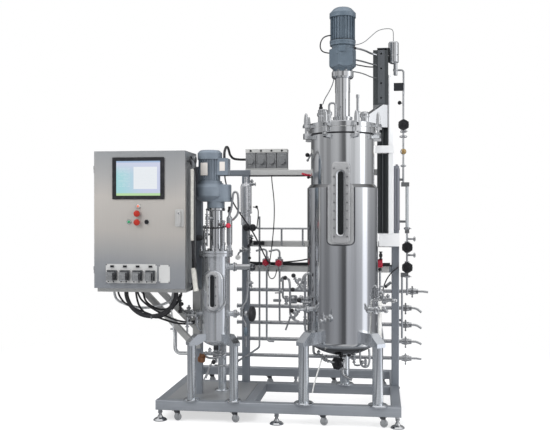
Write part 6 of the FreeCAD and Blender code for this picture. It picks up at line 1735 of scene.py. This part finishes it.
@dataclass
class ValveSets(SubAssembly):
    """Small valves on their tubes round the ports of both vessels."""

    small: tuple[tuple, ...] = (
        ((-566, -518, 600), UP, 200), ((-566, -480, 668), (0, 0.4, -1), 180),
        ((-506, -520, 612), UP, 250), ((-534, -512, 650), ACROSS, 100), ((-433, -475, 408), ACROSS, 80),
        ((-364, -472, 398), ACROSS, 80), ((-339, -480, 446), UP, 300), ((-396, -462, 398), UP, 250),
        ((-226, -480, 668), UP, 280), ((-191, -470, 850), UP, 180),
        ((107, -400, 856), (0.55, 0, -0.8), 90), ((136, -400, 820), (0.55, 0, -0.8), 90),
        ((40, -396, 738), UP, 270), ((104, -402, 650), (0.6, 0, 0.8), 90), ((159, -400, 848), UP, 300),
        ((159, -400, 610), UP, 270), ((170, -400, 724), ACROSS, 90), ((604, -404, 742), ACROSS, 90),
        ((640, -404, 762), UP, 300), ((672, -402, 752), ACROSS, 90), ((608, -404, 796), UP, 200),
        ((622, -410, 690), UP, 250), ((240, -350, 388), ACROSS, 90),
        ((282, -350, 360), (1, 0, -0.5), 90), ((462, -345, 372), UP, 300), ((534, -345, 350), UP, 20),
        ((-438, -524, 1252), UP, 200), ((-438, -524, 1196), UP, 330), ((-470, -462, 1150), UP, 200),
        ((-359, -396, 1206), UP, 20), ((-342, -514, 1214), UP, 330), ((-262, -26, 1128), UP, 180),
        ((-258, -26, 1040), UP, 20), ((-296, -26, 1030), ACROSS, 90), ((-257, -26, 900), UP, 200),
        ((-238, -28, 1480), ACROSS, 90))
    dark: tuple[tuple, ...] = (
        ((-609, -522, 716), UP, 260), ((-617, -522, 752), (0.4, 0, 1), 200),
        ((-279, -30, 1284), UP, 270), ((-246, -26, 1092), (0.3, 0, 1), 30), ((628, -40, 1004), UP, 270))
    tubes: tuple[Route, ...] = (
        Route("seed_left_drop", 6.0, [(-566, -466, 655), (-566, -492, 650), (-566, -516, 632),
            (-566, -518, 600), (-566, -518, 540)], PIPE),
        Route("seed_left_link", 6.0, [(-570, -512, 650), (-534, -512, 650), (-512, -518, 646),
            (-506, -520, 625), (-506, -520, 590), (-500, -500, 560), (-486, -484, 552)], PIPE),
        Route("seed_left_riser", 6.0, [(-588, -466, 660), (-600, -492, 672), (-608, -518, 690),
            (-609, -522, 716), (-612, -522, 736), (-624, -522, 770)], PIPE),
        Route("seed_under_run", 7.0, [(-486, -478, 400), (-470, -476, 408), (-433, -475, 408),
            (-396, -473, 404), (-364, -472, 398), (-346, -474, 404), (-339, -480, 424),
            (-339, -480, 470), (-346, -474, 486)], PIPE),
        Route("seed_right_drop", 6.0, [(-191, -468, 930), (-191, -470, 850), (-196, -474, 740),
            (-222, -480, 706), (-226, -480, 668), (-222, -478, 630), (-206, -472, 600),
            (-204, -472, 560), (-204, -472, 452)], PIPE),
        Route("main_left_riser", 7.5, [(190, -376, 914), (166, -398, 904), (159, -400, 888),
            (159, -400, 848), (159, -400, 700), (159, -400, 560), (164, -396, 540),
            (196, -376, 534)], PIPE),
        Route("main_left_link", 6.0, [(86, -398, 892), (107, -400, 856), (136, -400, 820),
            (159, -400, 800)], PIPE),
        Route("main_left_port", 7.0, [(150, -400, 724), (170, -400, 724), (196, -384, 722)], PIPE),
        Route("right_cluster", 7.0, [(576, -398, 742), (604, -404, 742), (640, -404, 742),
            (640, -404, 762), (652, -404, 756), (690, -402, 750)], PIPE),
        Route("right_rise", 6.0, [(622, -408, 742), (608, -404, 770), (608, -404, 820),
            (592, -386, 836)], PIPE),
        Route("right_hose", 12.0, [(622, -410, 742), (622, -410, 690), (624, -420, 620),
            (622, -426, 560), (624, -424, 500), (628, -410, 470)], SILICONE),
        Route("bottom_run", 8.0, [(350, -340, 345), (320, -346, 346), (282, -350, 360),
            (258, -350, 382), (240, -350, 388), (214, -350, 394), (206, -344, 410),
            (206, -336, 452)], PIPE),
        Route("bottom_link", 6.0, [(412, -320, 392), (431, -345, 398), (455, -346, 398),
            (462, -345, 386), (462, -345, 340), (470, -345, 326), (500, -344, 330)], PIPE),
        Route("white_lead", 5.0, [(262, -350, 374), (250, -352, 330), (234, -354, 280),
            (220, -355, 230), (208, -356, 190), (201, -356, 150)], SILICONE),
        Route("seed_head_left", 6.0, [(-438, -524, 1078), (-438, -524, 1196), (-438, -524, 1290),
            (-440, -516, 1304), (-446, -500, 1306)], PIPE),
        Route("seed_head_loop", 5.0, [(-470, -460, 1130), (-470, -464, 1180), (-462, -490, 1200),
            (-450, -516, 1200), (-438, -524, 1200)], PIPE),
        Route("filter_drop", 7.0, [(-272, -18, 1200), (-264, -24, 1170), (-262, -26, 1128),
            (-258, -26, 1040), (-256, -26, 900), (-256, -22, 840), (-256, 10, 800),
            (-256, 70, 778)], PIPE),
        Route("filter_branch", 6.0, [(-258, -26, 1030), (-296, -26, 1030), (-322, -26, 1022),
            (-334, -26, 1004), (-334, -26, 980)], PIPE),
        Route("upper_port", 5.5, [(190, -214, 1660), (172, -206, 1660), (157, -204, 1660)], PIPE),
        Route("lower_port", 5.5, [(194, -214, 1516), (178, -204, 1516), (163, -202, 1516)], PIPE),
        Route("right_port", 5.5, [(618, -292, 822), (636, -298, 820), (658, -300, 822)], PIPE),
        Route("trunk_cable", 7.0, [(-508, -622, 1130), (-508, -620, 1080), (-500, -612, 1010),
            (-494, -608, 940)]),
        Route("side_cable", 5.5, [(-512, -590, 1000), (-500, -586, 960), (-492, -586, 900),
            (-500, -580, 840), (-530, -560, 812)]),
    )

    def valve(self, name: str, capped: bool = True) -> Any:
        """Models a small coupled valve along +Z whose bonnet points along +X.

        Args:
            name: The piece's name.
            capped: Whether the bonnet gets its cap.

        Returns:
            The mesh object.
        """
        half = [(11, 10), (7, 13), (7, 19), (12, 21), (12, 26)]
        body = turned(name, [(radius, -z) for radius, z in reversed(half)] + half, 20)
        rise = [(8, 6), (8, 14), (12, 16), (12, 24)] + ([(7, 27), (5, 34)] if capped else [])
        bonnet = turned(name + "_bonnet", rise, 16).put(about("Y", 90))
        return join([body.smooth(), bonnet.smooth()], name)

    def build(self) -> None:
        """Fits the valves, their tubes and their handles."""
        self.repeat(self.valve("small_valves"), self.small, PIPE)
        self.repeat(self.valve("dark_valves", False), self.dark, BLACK)
        self.cables(*self.tubes)
        drop = turned("blue_drop", [(4, -34), (11, -16), (13, 0), (10, 18), (4, 30)], 18)
        self.repeat(drop.smooth(), [((-204, -472, 548), UP)], MOTOR_PAINT)
        grip = turned("dark_grips", [(6, 0), (9, 3), (9, 46), (7, 50)], 16)
        self.repeat(grip.smooth(), [((8, -396, 735), (-1, 0, 0)), ((654, -300, 818), (0.75, 0, 0.6))],
                    LEAD)
        port = turned("port_disc", [(17, -5), (17, 5), (14, 7)], 28)
        self.repeat(port.smooth(), [((-334, -26, 984), FORWARD)], SILICONE)


# ---- Studio ----------------------------------------------------------------
# What polished metal sees round it: bright and dark uprights, from one side round to it again.
STUDIO_WALLS: tuple[tuple[float, Colour], ...] = tuple(
    (place, (grey, grey * 1.01, grey * 1.035)) for place, grey in (
        (0.00, 0.24), (0.02, 0.32), (0.035, 0.46), (0.06, 0.50), (0.10, 0.42), (0.12, 0.30),
        (0.155, 0.28), (0.18, 0.42), (0.205, 0.28), (0.24, 0.36), (0.26, 0.58), (0.28, 0.48),
        (0.325, 0.34), (0.35, 0.15), (0.40, 0.12), (0.49, 0.10), (0.51, 0.20), (0.61, 0.22),
        (0.65, 0.40), (0.71, 0.44), (0.745, 0.62), (0.757, 1.70), (0.798, 1.70), (0.81, 0.80),
        (0.86, 0.68), (0.875, 0.54), (0.905, 0.60), (0.94, 0.70), (0.955, 0.60), (0.966, 0.12),
        (1.00, 0.16)))
WHITE: Colour = (1, 1, 1)


@dataclass(frozen=True)
class Softbox:
    """One large soft lamp."""

    name: str
    place: Point
    target: Point
    size: tuple[float, float]
    power: float


@dataclass(frozen=True)
class Studio:
    """Pale floor, white surroundings, soft lamps and the camera."""

    floor_size: float = 60.0
    floor_fade: Span = (1.5, 3.4)
    mirror_fade: Span = (0.7, 1.3)
    floor_glow: float = 0.62
    floor_tones: tuple[Colour, Colour] = ((0.80, 0.80, 0.80), (0.82, 0.82, 0.82))
    shaded_tone: Colour = (0.45, 0.45, 0.45)
    mirror_near: Colour = (0.20, 0.21, 0.23)
    mirror_far: Colour = (0.15, 0.16, 0.18)
    mirror_far_share: float = 0.25
    horizon: Span = (-0.10, 0.12)
    horizon_tones: tuple[Colour, Colour] = ((0.62, 0.63, 0.66), (1.08, 1.08, 1.08))
    ceiling: Span = (0.55, 0.9)
    ceiling_tone: Colour = (0.9, 0.9, 0.92)
    soft_tone: Colour = (0.62, 0.63, 0.65)
    camera_place: Point = (625.0, -5380.0, 1272.0)
    turn_deg: float = 7.5
    drop_deg: float = 0.36
    lens_mm: float = 52.36
    sensor_mm: float = 36.0
    softboxes: tuple[Softbox, ...] = (
        Softbox("key", (-2600, -3600, 3600), (0, -200, 1200), (2.6, 2.6), 150.0),
        Softbox("fill", (3600, -3000, 2600), (0, -200, 1100), (2.2, 2.8), 85.0),
        Softbox("top", (200, -300, 5200), (0, -300, 800), (3.6, 3.0), 110.0),
        Softbox("back", (-400, 4200, 3000), (0, 0, 1200), (3.2, 2.4), 70.0),
    )

    def build(self) -> None:
        """Sets up everything round the object."""
        self.camera()
        self.floor()
        for box in self.softboxes:
            self.lamp(box)
        self.surroundings()
        bpy.context.scene.view_settings.view_transform = "Standard"
        log.info("studio with %d softboxes", len(self.softboxes))

    def camera(self) -> None:
        """Adds the camera."""
        data = bpy.data.cameras.new("camera")
        data.lens, data.sensor_width = self.lens_mm, self.sensor_mm
        camera = bpy.data.objects.new("camera", data)
        bpy.context.collection.objects.link(camera)
        camera.location = PLAN.at(*self.camera_place)
        camera.rotation_euler = (math.radians(90 - self.drop_deg), 0, math.radians(self.turn_deg))
        bpy.context.scene.camera = camera

    def floor(self) -> None:
        """Adds the pale floor, which polished metal sees as a dull one."""
        deselect_all()
        bpy.ops.mesh.primitive_plane_add(size=self.floor_size, location=(0, 0, 0))
        floor = bpy.context.active_object
        floor.name = "floor"
        material = bpy.data.materials.new("floor")
        material.use_nodes = True
        n = Nodes(material.node_tree)
        x, y, _ = n.place()
        distance = n.math("SQRT", x * x + y * y)
        near = 1 - distance.ramp(*self.floor_fade)
        clouds = n.mix(n.noise(0.6, (1, 1, 1), 2.0), *self.floor_tones)
        lit = n.add("ShaderNodeBsdfDiffuse", inputs={"Color": clouds})
        glow = self.emission(n, WHITE, self.floor_glow)
        shaded = n.add("ShaderNodeBsdfDiffuse", inputs={"Color": self.shaded_tone})
        shaded = n.add("ShaderNodeAddShader", inputs={0: glow, 1: shaded})
        seen = n.mixed_shader(near, self.emission(n, WHITE), shaded)
        far = n.mix(self.mirror_far_share, self.walls(n, x, y), self.mirror_far)
        tone = n.mix(distance.ramp(*self.mirror_fade), self.mirror_near, far)
        mirrored = n.mixed_shader(near, n.add("ShaderNodeBsdfTransparent"), self.emission(n, tone))
        other = n.mixed_shader(self.ray(n, "Glossy"), lit, mirrored)
        shader = n.mixed_shader(self.ray(n, "Camera"), other, seen)
        n.add("ShaderNodeOutputMaterial", inputs={"Surface": shader})
        floor.data.materials.append(material)

    @staticmethod
    def emission(n: Nodes, colour: Any, strength: float = 1.0) -> Value:
        """Adds an even glow."""
        return n.add("ShaderNodeEmission", inputs={"Color": colour, "Strength": strength})

    @staticmethod
    def ray(n: Nodes, kind: str) -> Value:
        """Is 1 for one kind of ray."""
        return n.add("ShaderNodeLightPath", output=f"Is {kind} Ray")

    @staticmethod
    def walls(n: Nodes, x: Value, y: Value) -> Value:
        """Gives the tone of the studio's walls where a direction meets them."""
        return n.add("ShaderNodeValToRGB", {"stops": STUDIO_WALLS},
                     {"Fac": n.math("ARCTAN2", x, y) / math.tau + 0.5})

    def lamp(self, box: Softbox) -> None:
        """Adds one softbox.

        Args:
            box: Its place and strength.
        """
        data = bpy.data.lights.new(box.name, "AREA")
        data.shape = "RECTANGLE"
        data.size, data.size_y = box.size
        data.energy = box.power
        lamp = bpy.data.objects.new(box.name, data)
        bpy.context.collection.objects.link(lamp)
        lamp.location = PLAN.at(*box.place)
        aim = PLAN.at(*box.target) - lamp.location
        lamp.rotation_euler = aim.to_track_quat("-Z", "Y").to_euler()
        lamp.visible_glossy = False

    def surroundings(self) -> None:
        """Sets the world: white to the eye, a striped studio to polished metal."""
        world = bpy.data.worlds.new("studio")
        bpy.context.scene.world = world
        world.use_nodes = True
        n = Nodes(world.node_tree)
        x, y, z = n.split(n.add("ShaderNodeTexCoord", output="Generated"))
        dim = n.mix(z.ramp(*self.horizon), *self.horizon_tones)
        lower = n.add("ShaderNodeMix", {"data_type": "RGBA", "blend_type": "MULTIPLY"},
                      {0: 1.0, 6: self.walls(n, x, y), 7: dim}, output=2)
        glossy_view = n.mix(z.ramp(*self.ceiling), lower, self.ceiling_tone)
        soft = n.mix(self.ray(n, "Glossy"), self.soft_tone, glossy_view)
        white = (self.ray(n, "Camera") + self.ray(n, "Transmission")).clamped()
        colour = n.mix(white, soft, WHITE)
        background = n.add("ShaderNodeBackground", inputs={"Color": colour, "Strength": 1.0})
        n.add("ShaderNodeOutputWorld", inputs={"Surface": background})


def write_sizes() -> None:
    """Brings the view layer up to date."""
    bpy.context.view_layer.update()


def main() -> None:
    """Dresses the skid and sets the studio."""
    logging.basicConfig(level=logging.INFO, format="%(name)s: %(message)s")
    finishes = Finishes()
    finishes.dress_nodes()
    for kind in (Pumps, Motors, Cabinet, Bundles, Fittings, ValveSets):
        kind(finishes).build()
    Studio().build()
    write_sizes()


if __name__ == "__main__":
    main()
